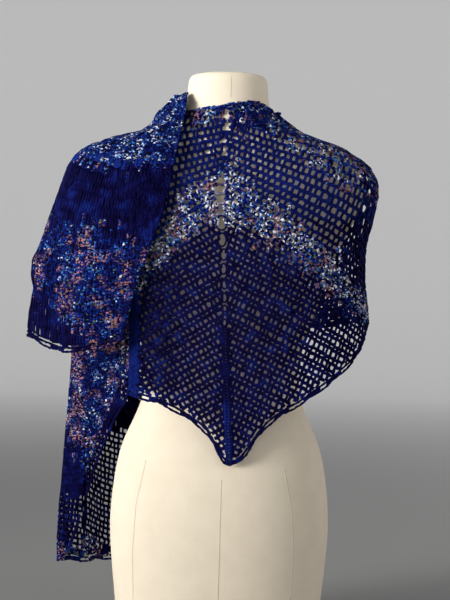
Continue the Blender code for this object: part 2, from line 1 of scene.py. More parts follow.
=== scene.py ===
"""Looks of a crocheted three-cornered wrap on a dress form, laid out as an add-on.

The properties are in metres, and the tables and yarn paths in millimetres. +Z is up and the wearer's
back faces -Y. A place on the cloth is a bearing round the upright axis, in degrees with 0 at the
wearer's right and -90 at the spine, and a height.
"""

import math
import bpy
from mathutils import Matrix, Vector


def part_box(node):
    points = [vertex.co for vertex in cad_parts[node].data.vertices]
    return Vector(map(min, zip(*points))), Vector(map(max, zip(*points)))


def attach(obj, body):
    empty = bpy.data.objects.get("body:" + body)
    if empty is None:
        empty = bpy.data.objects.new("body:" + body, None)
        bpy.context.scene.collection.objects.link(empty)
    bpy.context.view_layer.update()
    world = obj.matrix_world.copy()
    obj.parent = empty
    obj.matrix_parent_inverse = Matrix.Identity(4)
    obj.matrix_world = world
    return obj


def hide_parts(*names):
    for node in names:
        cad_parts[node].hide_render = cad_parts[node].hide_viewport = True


bl_info = {
    "name": "Crocheted wrap on a dress form",
    "version": (1, 0, 0),
    "blender": (4, 5, 0),
    "location": "3D View > Sidebar > Wrap",
    "description": "Dresses the solids of a crocheted wrap and its form in yarn and cover",
    "category": "Object",
}

import bmesh
import bpy
import numpy as np
from mathutils import Matrix, Vector
from mathutils.bvhtree import BVHTree

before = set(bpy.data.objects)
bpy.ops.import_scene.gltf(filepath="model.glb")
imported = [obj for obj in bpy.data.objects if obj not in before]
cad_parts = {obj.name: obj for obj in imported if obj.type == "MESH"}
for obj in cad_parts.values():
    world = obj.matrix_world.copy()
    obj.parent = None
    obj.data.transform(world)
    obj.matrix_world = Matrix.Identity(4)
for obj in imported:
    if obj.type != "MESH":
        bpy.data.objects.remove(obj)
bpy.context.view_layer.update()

# How the walls are read and drawn

MM = 0.001
TURN_STEP = 0.5
LEVEL_STEP = 2.5
FINE_STEP = 0.6
FAR_OUT = 600.0
CHART_SMOOTHING = 2
SEED = 11
ROW_SAMPLES = 240
TRIM_STEPS = 9
LEAST_KEPT = 3
POST_SIDES = 5
POST_RINGS = 4
CLOSE_SHARE = 0.575
CLOSE_STRAY = 0.4
WOBBLE, WOBBLE_TURN, SHORTER_TURN = 1.2, 9.0, 0.43
FOLD_SHARE = 0.66
DOTTED_ROYAL = 0.5
CHAIN_SIDES = 6
CHAIN_STEP = 4.6
ATLAS_INSET = 0.05
SIDES_SHARE = 0.86
RIGHT, LEFT = 1, 2
BACK_TURN = (-179.9, -0.1)
FRONT_TURN = (0.1, 179.9)
WING_TURN = (120.0, 205.0)
THROWN_TURN = (-179.9, -60.1)
EDGE_INSET = 1.0

# Where a stitch bends and swells, as shares of its length
BEND_AT = (0, 0.33, 0.67, 1)
BEND_BY = (0.3, 1.0, 1.0, 0.3)
SWELL_BY = (1.12, 0.90, 0.90, 1.12)
LOOSE_SIZES = (0.82, 1.18)
FIRM_SIZES = (0.95, 1.05)
CHAIN_SWELL = (1.16, 0.84)

# How far the yarn is speckled in each place
TOP_BAND_SPECKLED, SECOND_BAND_SPECKLED = 0.97, 1.28
WING_SPECKLED = 0.92
COLLAR_SPECKLED, THROWN_TOP_SPECKLED, THROWN_SPECKLED = 0.99, 1.08, 0.86
THROWN_TOP_ROYAL = 1.8
THROWN_EDGE_SPECKLED = 0.6
ROYAL_SHARE = 0.55

# The spine of the back, as height and place across
SPINE_LINE = (
    (252, 14),
    (330, 9),
    (400, 6),
    (455, 3),
    (500, 1),
    (560, -1),
    (604, -5),
    (652, -8),
    (700, -3),
    (786, -1),
)

# The open eyelets along the spine, as place across, height, width and how tall they are
SPINE_EYELETS = (
    (-1, 762, 8, 9),
    (-3, 747, 7, 8),
    (0, 729, 7, 10),
    (-2, 710, 7, 9),
    (-5, 666, 9, 10),
    (-8, 652, 10, 9),
    (-6, 639, 10, 9),
    (-6, 624, 11, 11),
    (-5, 604, 14, 19),
    (-4, 580, 10, 17),
    (-1, 559, 8, 14),
    (-1, 539, 7, 13),
    (1, 517, 6, 11),
    (1, 498, 6, 11),
    (2, 483, 5, 7),
    (2, 463, 4.4, 8),
)
EYELET_RINGS = 14
EYELET_CLEAR = 2.2
BRIDGED_BELOW = 30.0
BRIDGE_FLATNESS = 1.5
RIDGE_TOP, RIDGE_FOOT = 452, 264
RIDGE_STEP = 4.4
RIDGE_HALF_WIDTH = 4.2
# Below this height the ridge's yarn turns royal, at most by the brightest share: a painted highlight where
# the spine's fold catches the light
RIDGE_HIGHLIGHT_BELOW = 366
RIDGE_RISE, RIDGE_DROP = 2.6, 7.4
RIDGE_LIFTS = np.array([-0.8, 0.1, 0.4, -0.4])
RIDGE_WIDTHS = np.array([0.9, 1.2, 1.1, 0.8])
RIDGE_HIGHLIGHT_MOST = 0.35

# Where the rows start along the spine, from far above the neck's edge to the tip
FIRST_ROW, LAST_ROW = 940, 244
TALL_ROWS_FROM = 612

# How far a row falls for each millimetre away from the spine: its height there, then right and left
ROW_FALLS = (
    (244, 0.50, 0.58),
    (500, 0.50, 0.60),
    (600, 0.51, 0.60),
    (650, 0.50, 0.52),
    (690, 0.46, 0.40),
    (740, 0.36, 0.22),
    (775, 0.28, 0.06),
    (940, 0.28, 0.04),
)

# How the rows of the front fall, by the distance from the right side
FRONT_FALLS = ((0, 0), (40, 16), (90, 26), (160, 30), (260, 22), (340, -4), (420, -34), (520, -60))
FRONT_GATHERED_FROM = 148

# Bands of speckled and of navy yarn, as place across, upper edge and lower edge
BACK_TOP_BAND = (
    (-70, 900, 734),
    (-40, 900, 750),
    (-10, 900, 758),
    (15, 900, 760),
    (30, 900, 750),
    (45, 900, 742),
    (74, 900, 723),
    (121, 900, 691),
    (175, 900, 656),
    (215, 900, 639),
)
BACK_SECOND_BAND = (
    (-125, 545, 500),
    (-108, 570, 520),
    (-99, 589, 533),
    (-84, 603, 548),
    (-68, 636, 570),
    (-49, 655, 585),
    (-26, 667, 602),
    (8, 690, 605),
    (31, 664, 598),
    (52, 642, 586),
    (73, 625, 574),
    (105, 602, 549),
    (140, 580, 524),
    (168, 550, 502),
    (195, 515, 475),
    (215, 492, 462),
)
THROWN_NAVY_BAND = (
    (-300, 716, 625),
    (-254, 706, 609),
    (-224, 698, 603),
    (-193, 691, 598),
    (-145, 682, 577),
    (-107, 685, 569),
    (-60, 690, 566),
)
THROWN_NAVY_CORNER = (
    (-300, 508, 0),
    (-271, 508, 0),
    (-240, 478, 0),
    (-210, 448, 0),
    (-180, 420, 0),
    (-140, 380, 0),
)
WING_NAVY = (
    (-260, 292, 112),
    (-238, 295, 112),
    (-226, 264, 112),
    (-212, 240, 120),
    (-198, 236, 125),
    (-180, 300, 60),
    (-150, 372, 60),
    (-120, 372, 60),
)
RAGGED_BY = 8.0
COLLAR_ACROSS = -104
THROWN_DROP = 300

# Open patches of the left wing, as the least and most across and height
WING_OPEN = ((-160, -118, 335, 440), (-252, -214, 100, 190), (-209, -120, 100, 285))

# How thick the left wing's open yarn is beside that of the back, and the rings of its close stitches
WING_YARN_SHARE = 0.82
WING_CLOSE_RINGS = 2

# The upper edge of the back, which sags between the collar and the spine
NECK_EDGE = ((-60, 772), (-30, 776), (-12, 777), (0, 781), (20, 790), (40, 800), (60, 900))

# The dense fold at the left of the back, whose yarn is turned royal as a painted highlight of its lit edge
FOLD_ACROSS = -118
FOLD_BELOW = 528

# The upper edge of the back sags only right of here
SAG_FROM = -60

# Speckled heights of the front, and the height at which its rows' distance is measured
FRONT_TOP_ABOVE = 640
FRONT_BAND = (440, 480)
FRONT_MIDDLE = 560.0

# The close patch beside the spine under the neck
CLOSE_ACROSS = (10, 64)
CLOSE_ABOVE = 744

# How sharp the rims of the neck and the foot stay
RIM_CREASE = 0.65
RIM_ANGLE = math.radians(40)
SMOOTH_ANGLE = math.radians(50)
SEAM_STEP, SEAM_SINK, SEAM_FLATNESS = 6.0, 0.2, 1.6

# The edgings
SCALLOP_LENGTH = 50
EDGE_STITCH = 4.2
EDGE_JUMP = 6.0
LOOP_FROM = 0.935
WING_HEM_BELOW = 125
UPPER_CORD_IN, LOWER_CORD_IN, LOWER_CORD_LIFT = 0.14, 0.2, 0.3

# How far each stitch's flecks are shifted, the plies of the yarn, and how soon a mark shows in full
FLECK_SHIFT = 90.0
YARN_PLIES = 3.0
FLECKED_FULLY = 1.3

# Where the lights aim and how far they spread
LIGHT_AIM = (0.0, 0.0, 0.82)
LIGHT_SPREAD = math.radians(40)

# The floor's flat rings, how wide it bends up, and how many parts it has round and in the bend
FLAT_RINGS = (0.4, 1.5, 3.2)
FLOOR_BEND, FLOOR_PARTS, BEND_PARTS = 2.0, 96, 12

# Seams of the form's cover, as places across and heights
BACK_SEAMS = (
    ((-107, 262), (-120, 198), (-124, 130), (-122, 60), (-118, 6)),
    ((92, 254), (103, 199), (107, 146), (106, 88), (100, 6)),
    ((4, 833), (4, 790)),
    ((2, 240), (1, 120), (0, 6)),
)
FRONT_SEAMS = (
    ((-80, 600), (-92, 480), (-84, 330), (-104, 190), (-112, 6)),
    ((80, 600), (92, 480), (84, 330), (104, 190), (112, 6)),
)


# Properties


def length(name, description, default):
    return bpy.props.FloatProperty(name=name, description=description, default=default, unit="LENGTH")


def colour(name, description, default):
    return bpy.props.FloatVectorProperty(
        name=name, description=description, default=default, size=3, subtype="COLOR", min=0.0, max=1.0
    )


def amount(name, description, default):
    return bpy.props.FloatProperty(name=name, description=description, default=default)


class YarnSizes(bpy.types.PropertyGroup):
    """Sizes of the stitches and cords."""

    post_width: length("Post width", "Half the width of an openwork post", 0.0025)
    post_depth: length("Post depth", "Half the depth of an openwork post", 0.0014)
    chain_width: length("Chain width", "Half the width of the chain between two rows", 0.0026)
    chain_depth: length("Chain depth", "Half the depth of the chain between two rows", 0.0016)
    dotted_extra: length("Dotted extra", "How much wider a stitch is where the holes are small", 0.0002)
    speckled_extra: length("Speckled extra", "How much thicker the speckled yarn is, on the radius", 0.0002)
    slit_pitch: length("Slit pitch", "Distance between two posts below the widest eyelet", 0.0076)
    dotted_pitch: length("Dotted pitch", "Distance between two posts above the widest eyelet", 0.0094)
    tall_row: length("Tall row", "Drop of a row of slits along the spine", 0.0108)
    short_row: length("Short row", "Drop of a row of small holes along the spine", 0.0088)
    even_row: length("Even row", "Drop of each row above the widest eyelet", 0.0096)
    close_row: length("Close row", "Height of a row of close stitches", 0.0108)
    close_pitch: length("Close pitch", "Distance between two close stitches of the thrown end", 0.0050)
    wing_row: length("Wing row", "Height of a row of the left wing", 0.0087)
    wing_pitch: length("Wing pitch", "Distance between two open posts of the left wing", 0.0076)
    close_width: length("Close width", "Half the width of a close stitch", 0.0023)
    close_depth: length("Close depth", "Half the depth of a close stitch", 0.0009)
    close_chain: length("Close chain", "Half the thickness of the chain between close rows", 0.00075)
    sink: length("Sink", "How deep the strands' middles lie under the cloth's face", 0.0012)
    cord_radius: length("Cord radius", "Half the thickness of the edge cords", 0.0017)
    ridge_radius: length("Ridge radius", "Half the thickness of each strand of the spine's ridge", 0.0019)
    seam_radius: length("Seam radius", "Half the thickness of the seams on the form's cover", 0.0006)
    unevenness: length("Unevenness", "How far a stitch strays from its place", 0.0009)


class WrapColours(bpy.types.PropertyGroup):
    """Colours of the yarns and of the form's cover."""

    # Deep navy and royal are the yarn's own fleck colours; in the plain yarn deep navy also stands as painted
    # shade between strands and royal as painted highlight, also on the spine's ridge and the back's fold
    deep_navy: colour("Deep navy", "The darkest tone of the plain yarn", (0.0018, 0.0012, 0.022))
    navy: colour("Navy", "The plain yarn", (0.0032, 0.0034, 0.050))
    royal: colour("Royal", "The brighter blue of both yarns", (0.0055, 0.019, 0.180))
    sky: colour("Light blue", "The light blue flecks", (0.045, 0.175, 0.460))
    white: colour("White", "The white flecks", (0.600, 0.610, 0.650))
    coral: colour("Coral", "The coral flecks, which lie in clusters", (0.380, 0.175, 0.170))
    olive: colour("Olive", "The few olive flecks", (0.110, 0.140, 0.090))
    cover: colour("Cover", "The cotton cover of the form", (0.800, 0.705, 0.565))
    # The darker tone is the cover's own in its slubbed threads; on the seams it is painted shade of their
    # grooves
    thread_tone_and_seam_shade: colour("Cover shade", "The darker threads and seams of the cover", (0.640, 0.550, 0.420))


class StageSizes(bpy.types.PropertyGroup):
    """Camera, floor and light."""

    camera_distance: length("Camera distance", "From the camera to the middle of the form", 2.0)
    camera_height: length("Camera height", "Height of the camera over the floor", 0.495)
    camera_across: length("Camera across", "How far right of the middle the camera stands", 0.002)
    seen_height: length("Seen height", "Height of the picture at the form's middle", 0.9)
    camera_lean: bpy.props.FloatProperty(
        name="Camera lean", description="How far the camera leans", default=math.radians(1.2), subtype="ANGLE"
    )
    floor_radius: length("Floor radius", "Where the floor starts to rise", 5.0)
    wall_height: length("Wall height", "How high the floor rises all round", 5.0)
    key_power: amount("Key light", "Power of the large light at the left", 19.0)
    fill_power: amount("Fill light", "Power of the weak light at the right", 2.0)
    room_light: amount("Room light", "Strength of the light from all round", 0.29)
    # The floor's tones and the rise's glow are painted light: darker near the form as painted shade, lighter
    # and glowing by emission towards the rise
    wall_painted_light: amount("Wall glow", "Brightness of the softly lit rise behind the floor", 0.25)
    shaded_near_floor: colour("Near floor", "Tone of the floor under the form", (0.36, 0.36, 0.36))
    lit_far_floor: colour("Far floor", "Tone of the rise round the floor", (0.62, 0.62, 0.62))
    room_tone: colour("Room tone", "Tone of the light from all round", (1.0, 1.0, 1.0))


# Reading the tables


def read_column(rows, column, at):
    """One column of a table at places between its rows."""
    rows = sorted(rows)
    return np.interp(at, [row[0] for row in rows], [row[column] for row in rows])


def within_band(band, across, height):
    return (height < read_column(band, 1, across)) & (height > read_column(band, 2, across))


def unit(vectors):
    return vectors / np.maximum(np.linalg.norm(vectors, axis=-1, keepdims=True), 1e-9)


# The cloth as a chart of bearing and height


class Drape:
    """The outer face of a CAD wall, read as its distance from the upright axis."""

    def __init__(self, node, first, last, level_step=LEVEL_STEP):
        low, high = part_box(node)
        self.level_step = level_step
        self.bearings = np.arange(first, last + TURN_STEP / 2, TURN_STEP)
        self.heights = np.arange(low.z / MM + 0.3, high.z / MM, level_step)
        found = self.cast(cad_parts[node].data)
        self.mark_edges(found)
        self.reach = self.filled(found)
        self.measure_falls()

    def cast(self, mesh):
        """Distances from the axis to the outermost face, and nothing where the wall is open."""
        corners = [vertex.co / MM for vertex in mesh.vertices]
        tree = BVHTree.FromPolygons(corners, [face.vertices for face in mesh.polygons])
        found = np.full((len(self.bearings), len(self.heights)), np.nan)
        for column, bearing in enumerate(np.radians(self.bearings)):
            outwards = Vector((math.cos(bearing), math.sin(bearing), 0.0))
            for level, height in enumerate(self.heights):
                start = outwards * FAR_OUT
                start.z = height
                place = tree.ray_cast(start, -outwards, FAR_OUT)[0]
                if place is not None:
                    found[column, level] = math.hypot(place.x, place.y)
        return found

    def mark_edges(self, found):
        """The top and bottom of the cloth at each bearing, and its two sides at each height."""
        met = ~np.isnan(found)
        some, half = met.any(axis=1), self.level_step / 2
        highest = len(self.heights) - 1 - met[:, ::-1].argmax(axis=1)
        self.top = np.where(some, self.heights[highest] + half, -1e3)
        self.bottom = np.where(some, self.heights[met.argmax(axis=1)] - half, 1e4)
        there = met.any(axis=0)
        furthest = len(self.bearings) - 1 - met[::-1].argmax(axis=0)
        self.first = np.where(there, self.bearings[met.argmax(axis=0)], 1e4)
        self.last = np.where(there, self.bearings[furthest], -1e4)
        self.some = some

    def filled(self, found):
        """Distances everywhere: carried on past the edges and over the eyelets, then smoothed."""
        reach = found.copy()
        for column in np.flatnonzero(self.some):
            there = ~np.isnan(reach[column])
            reach[column] = np.interp(self.heights, self.heights[there], reach[column, there])
        whole = np.flatnonzero(self.some)
        for column in np.flatnonzero(~self.some):
            reach[column] = reach[whole[np.abs(whole - column).argmin()]]
        for _ in range(CHART_SMOOTHING):
            wider = np.pad(reach, 1, mode="edge")
            beside = wider[:-2, 1:-1] + wider[2:, 1:-1] + wider[1:-1, :-2] + wider[1:-1, 2:]
            reach = (beside + 4 * reach) / 8
        return reach

    def reach_at(self, bearing, height):
        across = np.clip((bearing - self.bearings[0]) / TURN_STEP, 0, len(self.bearings) - 1.001)
        up = np.clip((height - self.heights[0]) / self.level_step, 0, len(self.heights) - 1.001)
        column, level = across.astype(int), up.astype(int)
        part, share = across - column, up - level
        low = self.reach[column, level] * (1 - part) + self.reach[column + 1, level] * part
        high = self.reach[column, level + 1] * (1 - part) + self.reach[column + 1, level + 1] * part
        return low * (1 - share) + high * share

    def point(self, bearing, height):
        bearing, height = np.broadcast_arrays(np.asarray(bearing, float), np.asarray(height, float))
        reach, turn = self.reach_at(bearing, height), np.radians(bearing)
        return np.stack([reach * np.cos(turn), reach * np.sin(turn), height], -1)

    def normal(self, bearing, height):
        bearing, height = np.asarray(bearing, float), np.asarray(height, float)
        round_it = self.point(bearing + 1.0, height) - self.point(bearing - 1.0, height)
        up_it = self.point(bearing, height + 3.0) - self.point(bearing, height - 3.0)
        return unit(np.cross(round_it, up_it))

    def bearing_at(self, across, height):
        """The bearing on the wearer's back where the cloth lies so far across."""
        across, height = np.broadcast_arrays(np.asarray(across, float), np.asarray(height, float))
        bearing = np.full(across.shape, -90.0)
        for _ in range(4):
            bearing = -np.degrees(np.arccos(np.clip(across / self.reach_at(bearing, height), -1, 1)))
        return bearing

    def measure_falls(self):
        """For each bearing, the length of cloth from the highest level down to each height."""
        bearings = self.bearings[:, None] + np.zeros(len(self.heights))
        points = self.point(bearings, self.heights + np.zeros((len(self.bearings), 1)))[:, ::-1]
        steps = np.linalg.norm(np.diff(points, axis=1), axis=2)
        self.fall = np.concatenate([np.zeros((len(self.bearings), 1)), np.cumsum(steps, axis=1)], axis=1)

    def fall_at(self, column, height):
        """The length of cloth from the highest level down to a height, at one column of the chart."""
        inside = float(np.interp(height, self.heights, self.fall[column, ::-1]))
        return inside - max(height - self.heights[-1], 0.0) + max(self.heights[0] - height, 0.0)

    def height_after(self, column, fall):
        """The height where so much cloth has fallen, and beyond the edges as if it hung on."""
        found = float(np.interp(fall, self.fall[column], self.heights[::-1]))
        return found - min(fall, 0.0) - max(fall - self.fall[column, -1], 0.0)

    def inside(self, bearing, height):
        top = np.interp(bearing, self.bearings, self.top)
        bottom = np.interp(bearing, self.bearings, self.bottom)
        first = np.interp(height, self.heights, self.first)
        last = np.interp(height, self.heights, self.last)
        return (height <= top) & (height >= bottom) & (bearing >= first) & (bearing <= last)


class Row:
    """One line of stitches on a drape, measured along its length."""

    def __init__(self, drape, bearings, heights):
        self.bearings, self.heights = np.asarray(bearings, float), np.asarray(heights, float)
        steps = np.linalg.norm(np.diff(drape.point(self.bearings, self.heights), axis=0), axis=1)
        self.length = np.concatenate([[0.0], np.cumsum(steps)])

    def at(self, place):
        """Bearing and height at lengths along the row."""
        bearing = np.interp(place, self.length, self.bearings)
        return np.stack([bearing, np.interp(place, self.length, self.heights)], -1)

    def below(self, bearings):
        """Places on this row at given bearings."""
        order = np.argsort(self.bearings)
        heights = np.interp(bearings, self.bearings[order], self.heights[order])
        return np.stack([bearings, heights], -1)


# Yarn as a mesh


class Strands:
    """Yarn gathered into one mesh, each strand a closed tube with a flat chart of its own."""

    def __init__(self, name):
        self.name = name
        self.points, self.faces, self.along, self.charts, self.units, self.marks = [], [], [], [], [], []
        self.point_count = self.unit_count = 0

    def add(self, centres, outs, wide, high, sides, marks, ring=False):
        """Tubes along rows of points, wide across the cloth and high out of it."""
        tubes, rings = centres.shape[:2]
        step = np.roll(centres, -1, 1) - np.roll(centres, 1, 1) if ring else np.gradient(centres, axis=1)
        sidewards = unit(np.cross(step, outs))
        outwards = unit(np.cross(sidewards, step))
        turn = np.arange(sides) * 2 * math.pi / sides
        spread = np.broadcast_to(wide, (tubes, rings))[..., None] * np.cos(turn)
        lift = np.broadcast_to(high, (tubes, rings))[..., None] * np.sin(turn)
        skin = centres[:, :, None] + sidewards[:, :, None] * spread[..., None]
        skin = skin + outwards[:, :, None] * lift[..., None]
        self.points.append(skin.reshape(-1, 3))
        marks = np.asarray(marks, float).reshape(tubes, -1, 1, 3)
        marks = np.broadcast_to(marks, (tubes, rings, sides, 3))
        self.marks.append(marks.reshape(-1, 3))
        number = self.point_count + np.arange(tubes * rings * sides).reshape(tubes, rings, sides)
        self.point_count += number.size
        self.add_sides(centres, number, sides, ring)
        if not ring:
            self.add_ends(number, sides)

    def add_sides(self, centres, number, sides, ring):
        tubes, rings = number.shape[:2]
        spans = rings if ring else rings - 1
        here, there = np.arange(spans), (np.arange(spans) + 1) % rings
        beside = (np.arange(sides) + 1) % sides
        near, far = number[:, here], number[:, there]
        quads = np.stack([near, far, far[:, :, beside], near[:, :, beside]], -1)
        lengths = np.linalg.norm(centres[:, there] - centres[:, here], axis=-1)
        ends = np.cumsum(lengths, axis=1)
        starts = ends - lengths
        low, high = np.arange(sides) / sides, (np.arange(sides) + 1) / sides
        shape = (tubes, spans, sides)
        starts, ends = [np.broadcast_to(part[..., None], shape) for part in (starts, ends)]
        low, high = [np.broadcast_to(part, shape) for part in (low, high)]
        corners = [(starts, low), (ends, low), (ends, high), (starts, high)]
        along = np.stack([np.stack(corner, -1) for corner in corners], 3)
        units = max(1, round(spans / (POST_RINGS - 1)))
        owner = np.minimum(np.arange(spans) * units // spans, units - 1)
        counts = np.bincount(owner, minlength=units)
        place = np.arange(spans) - np.concatenate([[0], np.cumsum(counts)])[owner]
        left = np.broadcast_to((place / counts[owner] * SIDES_SHARE)[None, :, None], shape)
        right = np.broadcast_to(((place + 1) / counts[owner] * SIDES_SHARE)[None, :, None], shape)
        corners = [(left, low), (right, low), (right, high), (left, high)]
        charts = np.stack([np.stack(corner, -1) for corner in corners], 3)
        owners = self.unit_count + np.arange(tubes)[:, None, None] * units + owner[None, :, None]
        self.faces.append(quads.reshape(-1, 4))
        self.along.append(along.reshape(-1, 2))
        self.charts.append(charts.reshape(-1, 2))
        self.units.append(np.repeat(np.broadcast_to(owners, shape).reshape(-1), 4))
        firsts = self.unit_count + np.arange(tubes) * units
        self.last_units = (firsts, firsts + units - 1)
        self.unit_count += tubes * units

    def add_ends(self, number, sides):
        turn = np.arange(sides) * 2 * math.pi / sides
        disc = np.stack([0.5 + 0.5 * np.cos(turn), 0.5 + 0.5 * np.sin(turn)], -1)
        for ring, order, units, low in ((0, 1, self.last_units[0], 0.02), (-1, -1, self.last_units[1], 0.52)):
            faces = number[:, ring, ::order]
            chart = np.stack([SIDES_SHARE + 0.02 + disc[:, 0] * 0.10, low + disc[:, 1] * 0.45], -1)
            self.faces.append(faces)
            self.along.append(np.zeros((faces.size, 2)))
            self.charts.append(np.tile(chart, (len(faces), 1)))
            self.units.append(np.repeat(units, sides))

    def build(self, material):
        """The piece, with its flecks' marks, the run of its yarn and its flat chart."""
        mesh = bpy.data.meshes.new(self.name)
        faces = [face for part in self.faces for face in part.tolist()]
        mesh.from_pydata((np.concatenate(self.points) * MM).tolist(), [], faces)
        for column, name in enumerate(("speckled", "royal", "chance")):
            values = np.concatenate(self.marks)[:, column].astype(np.float32)
            mesh.attributes.new(name, "FLOAT", "POINT").data.foreach_set("value", values)
        units, charts = np.concatenate(self.units), np.concatenate(self.charts)
        side = math.ceil(math.sqrt(self.unit_count))
        cell = np.stack([units % side, units // side], -1)
        flat = (cell + ATLAS_INSET + charts * (1 - 2 * ATLAS_INSET)) / side
        for name, values in (("yarn", np.concatenate(self.along)), ("OFBake", flat)):
            mesh.uv_layers.new(name=name).data.foreach_set("uv", values.astype(np.float32).reshape(-1))
        mesh.shade_smooth()
        mesh.update()
        piece = bpy.data.objects.new(self.name, mesh)
        bpy.context.scene.collection.objects.link(piece)
        mesh.materials.append(material)
        return piece


class Cloth:
    """A drape and the yarn laid on it."""

    def __init__(self, name, node, first, last, is_speckled, is_open, is_royal, order):
        self.sizes = bpy.context.scene.wrap_yarn
        self.drape = Drape(node, first, last)
        self.strands = Strands(name)
        self.is_speckled, self.is_open, self.is_royal = is_speckled, is_open, is_royal
        self.random = np.random.default_rng(SEED + order)
        self.close_width = self.sizes.close_width / MM
        self.open_size = 1.0
        self.close_rings = POST_RINGS

    def marks(self, places):
        """How far each stitch is speckled or royal, and its own chance."""
        strayed = places + self.random.normal(0, RAGGED_BY, (len(places), 1)) * np.array([0.5, 0, 1])
        speckled = self.is_speckled(strayed[:, 0], strayed[:, 1], strayed[:, 2])
        royal = self.is_royal(places[:, 0], places[:, 1], places[:, 2]) * ROYAL_SHARE
        return np.stack([speckled * 1.0, royal * 1.0, self.random.random(len(places))], -1)

    def trimmed(self, tops, feet):
        """Stitches brought inside the edges of the cloth, without those that keep too little."""
        share = np.linspace(0, 1, TRIM_STEPS)[None, :, None]
        path = tops[:, None] + (feet - tops)[:, None] * share
        inside = self.drape.inside(path[..., 0], path[..., 1])
        first = inside.argmax(axis=1)
        last = TRIM_STEPS - 1 - inside[:, ::-1].argmax(axis=1)
        kept = np.flatnonzero(inside.any(axis=1) & (last - first >= LEAST_KEPT))
        return path[kept, first[kept]], path[kept, last[kept]], kept

    def lay_posts(self, tops, feet, between):
        """Stitches between two rows. Those between two openwork posts are kept where the cloth is close."""
        tops, feet, kept = self.trimmed(tops, feet)
        if not len(kept):
            return
        middles = self.drape.point(*((tops + feet) / 2).T)
        is_open = self.is_open(*middles.T)
        kept = np.flatnonzero(~(is_open & between[kept]))
        if not len(kept):
            return
        tops, feet, middles, is_open = tops[kept], feet[kept], middles[kept], is_open[kept]
        marks = self.marks(middles)
        for chosen, rings in ((is_open, POST_RINGS), (~is_open, self.close_rings)):
            if chosen.any():
                parts = [part[chosen] for part in (tops, feet, middles, is_open, marks)]
                self.lay_tubes(*parts, rings)

    def lay_tubes(self, tops, feet, middles, is_open, marks, rings):
        """One tube for each stitch, swollen at both ends where the cloth is open."""
        share = np.linspace(0, 1, rings)[None, :, None]
        path = tops[:, None] + (feet - tops)[:, None] * share
        outs = self.drape.normal(path[..., 0], path[..., 1])
        centres = self.drape.point(path[..., 0], path[..., 1]) - outs * (self.sizes.sink / MM)
        stray = self.random.normal(0, self.sizes.unevenness / MM, (len(tops), 1, 3))
        stray = stray * np.where(is_open, 1.0, CLOSE_STRAY)[:, None, None]
        bend = np.interp(share, BEND_AT, BEND_BY)
        centres = centres + stray * bend
        extra = marks[:, 0] * self.sizes.speckled_extra / MM
        loose = self.random.uniform(*LOOSE_SIZES, len(tops))[:, None]
        loose = loose * np.interp(share[..., 0], BEND_AT, SWELL_BY)
        firm = self.random.uniform(*FIRM_SIZES, len(tops))[:, None] * np.ones(rings)
        size = np.where(is_open[:, None], loose, firm)
        dotted = (middles[:, 2] > TALL_ROWS_FROM) * self.sizes.dotted_extra / MM
        open_wide = self.sizes.post_width / MM * self.open_size + extra + dotted
        open_high = self.sizes.post_depth / MM * self.open_size + extra
        wide = np.where(is_open, open_wide, self.close_width)
        high = np.where(is_open, open_high, self.sizes.close_depth / MM)
        wide, high = wide[:, None] * size, high[:, None] * size
        self.strands.add(centres, outs, wide, high, POST_SIDES, marks)

    def lay_chain(self, bearings, heights, width=None, depth=None, keep_inside=True, lift=0.0):
        """A chain along a line, in as many runs as lie on the cloth, swelling at each stitch."""
        row = Row(self.drape, bearings, heights)
        count = max(int(row.length[-1] / CHAIN_STEP), 2)
        places = row.at(np.linspace(0, row.length[-1], count + 1))
        inside = self.drape.inside(places[:, 0], places[:, 1]) if keep_inside else np.ones(count + 1, bool)
        edges = np.flatnonzero(np.diff(np.concatenate([[False], inside, [False]]).astype(int)))
        for start, end in zip(edges[::2], edges[1::2]):
            if end - start >= 3:
                self.lay_run(places[start:end], width, depth, lift)

    def lay_run(self, places, width, depth, lift):
        outs = self.drape.normal(places[:, 0], places[:, 1])
        centres = self.drape.point(places[:, 0], places[:, 1]) - outs * (self.sizes.sink / MM - lift)
        centres = centres + self.random.normal(0, 0.3 * self.sizes.unevenness / MM, centres.shape)
        marks = self.marks(centres)
        marks[:, 2] = self.random.random()
        is_open = self.is_open(*centres.T)
        dotted = (centres[:, 2] > TALL_ROWS_FROM) * is_open * self.sizes.dotted_extra / MM
        extra = marks[:, 0] * is_open * self.sizes.speckled_extra / MM
        close = self.sizes.close_chain / MM
        open_wide = self.sizes.chain_width / MM * self.open_size
        open_high = self.sizes.chain_depth / MM * self.open_size
        wide = (width or np.where(is_open, open_wide, close)) + extra + dotted
        high = (depth or np.where(is_open, open_high, close)) + extra
        swell = np.where(np.arange(len(places)) % 2, *CHAIN_SWELL)
        self.strands.add(centres[None], outs[None], wide * swell, high * swell, CHAIN_SIDES, marks[None])


def nowhere(across, depth, height):
    return np.zeros(np.shape(height), bool)


# Patterns of stitches


def spine_gaps(heights):
    """How far from the spine the rows start: at the rim of an eyelet or beside the ridge."""
    gaps = np.zeros(len(heights))
    for _, middle, width, tall in SPINE_EYELETS:
        share = np.clip(1 - ((heights - middle) / (tall / 2 + EYELET_CLEAR)) ** 2, 0, 1)
        gaps = np.maximum(gaps, (width / 2 + 2) * np.sqrt(share))
    return np.maximum(gaps, np.where(heights < RIDGE_TOP, RIDGE_HALF_WIDTH, 0.6))


def spine_heights(sizes):
    """Heights of the rows at the spine, and which rows stand half a stitch aside of the one above."""
    heights, aside, tall = [float(FIRST_ROW)], [False], True
    while heights[-1] > LAST_ROW:
        even = heights[-1] > TALL_ROWS_FROM
        drop = sizes.even_row if even else (sizes.tall_row if tall else sizes.short_row)
        tall = True if even else not tall
        heights.append(heights[-1] - drop / MM)
        aside.append(even)
    return np.array(heights), aside


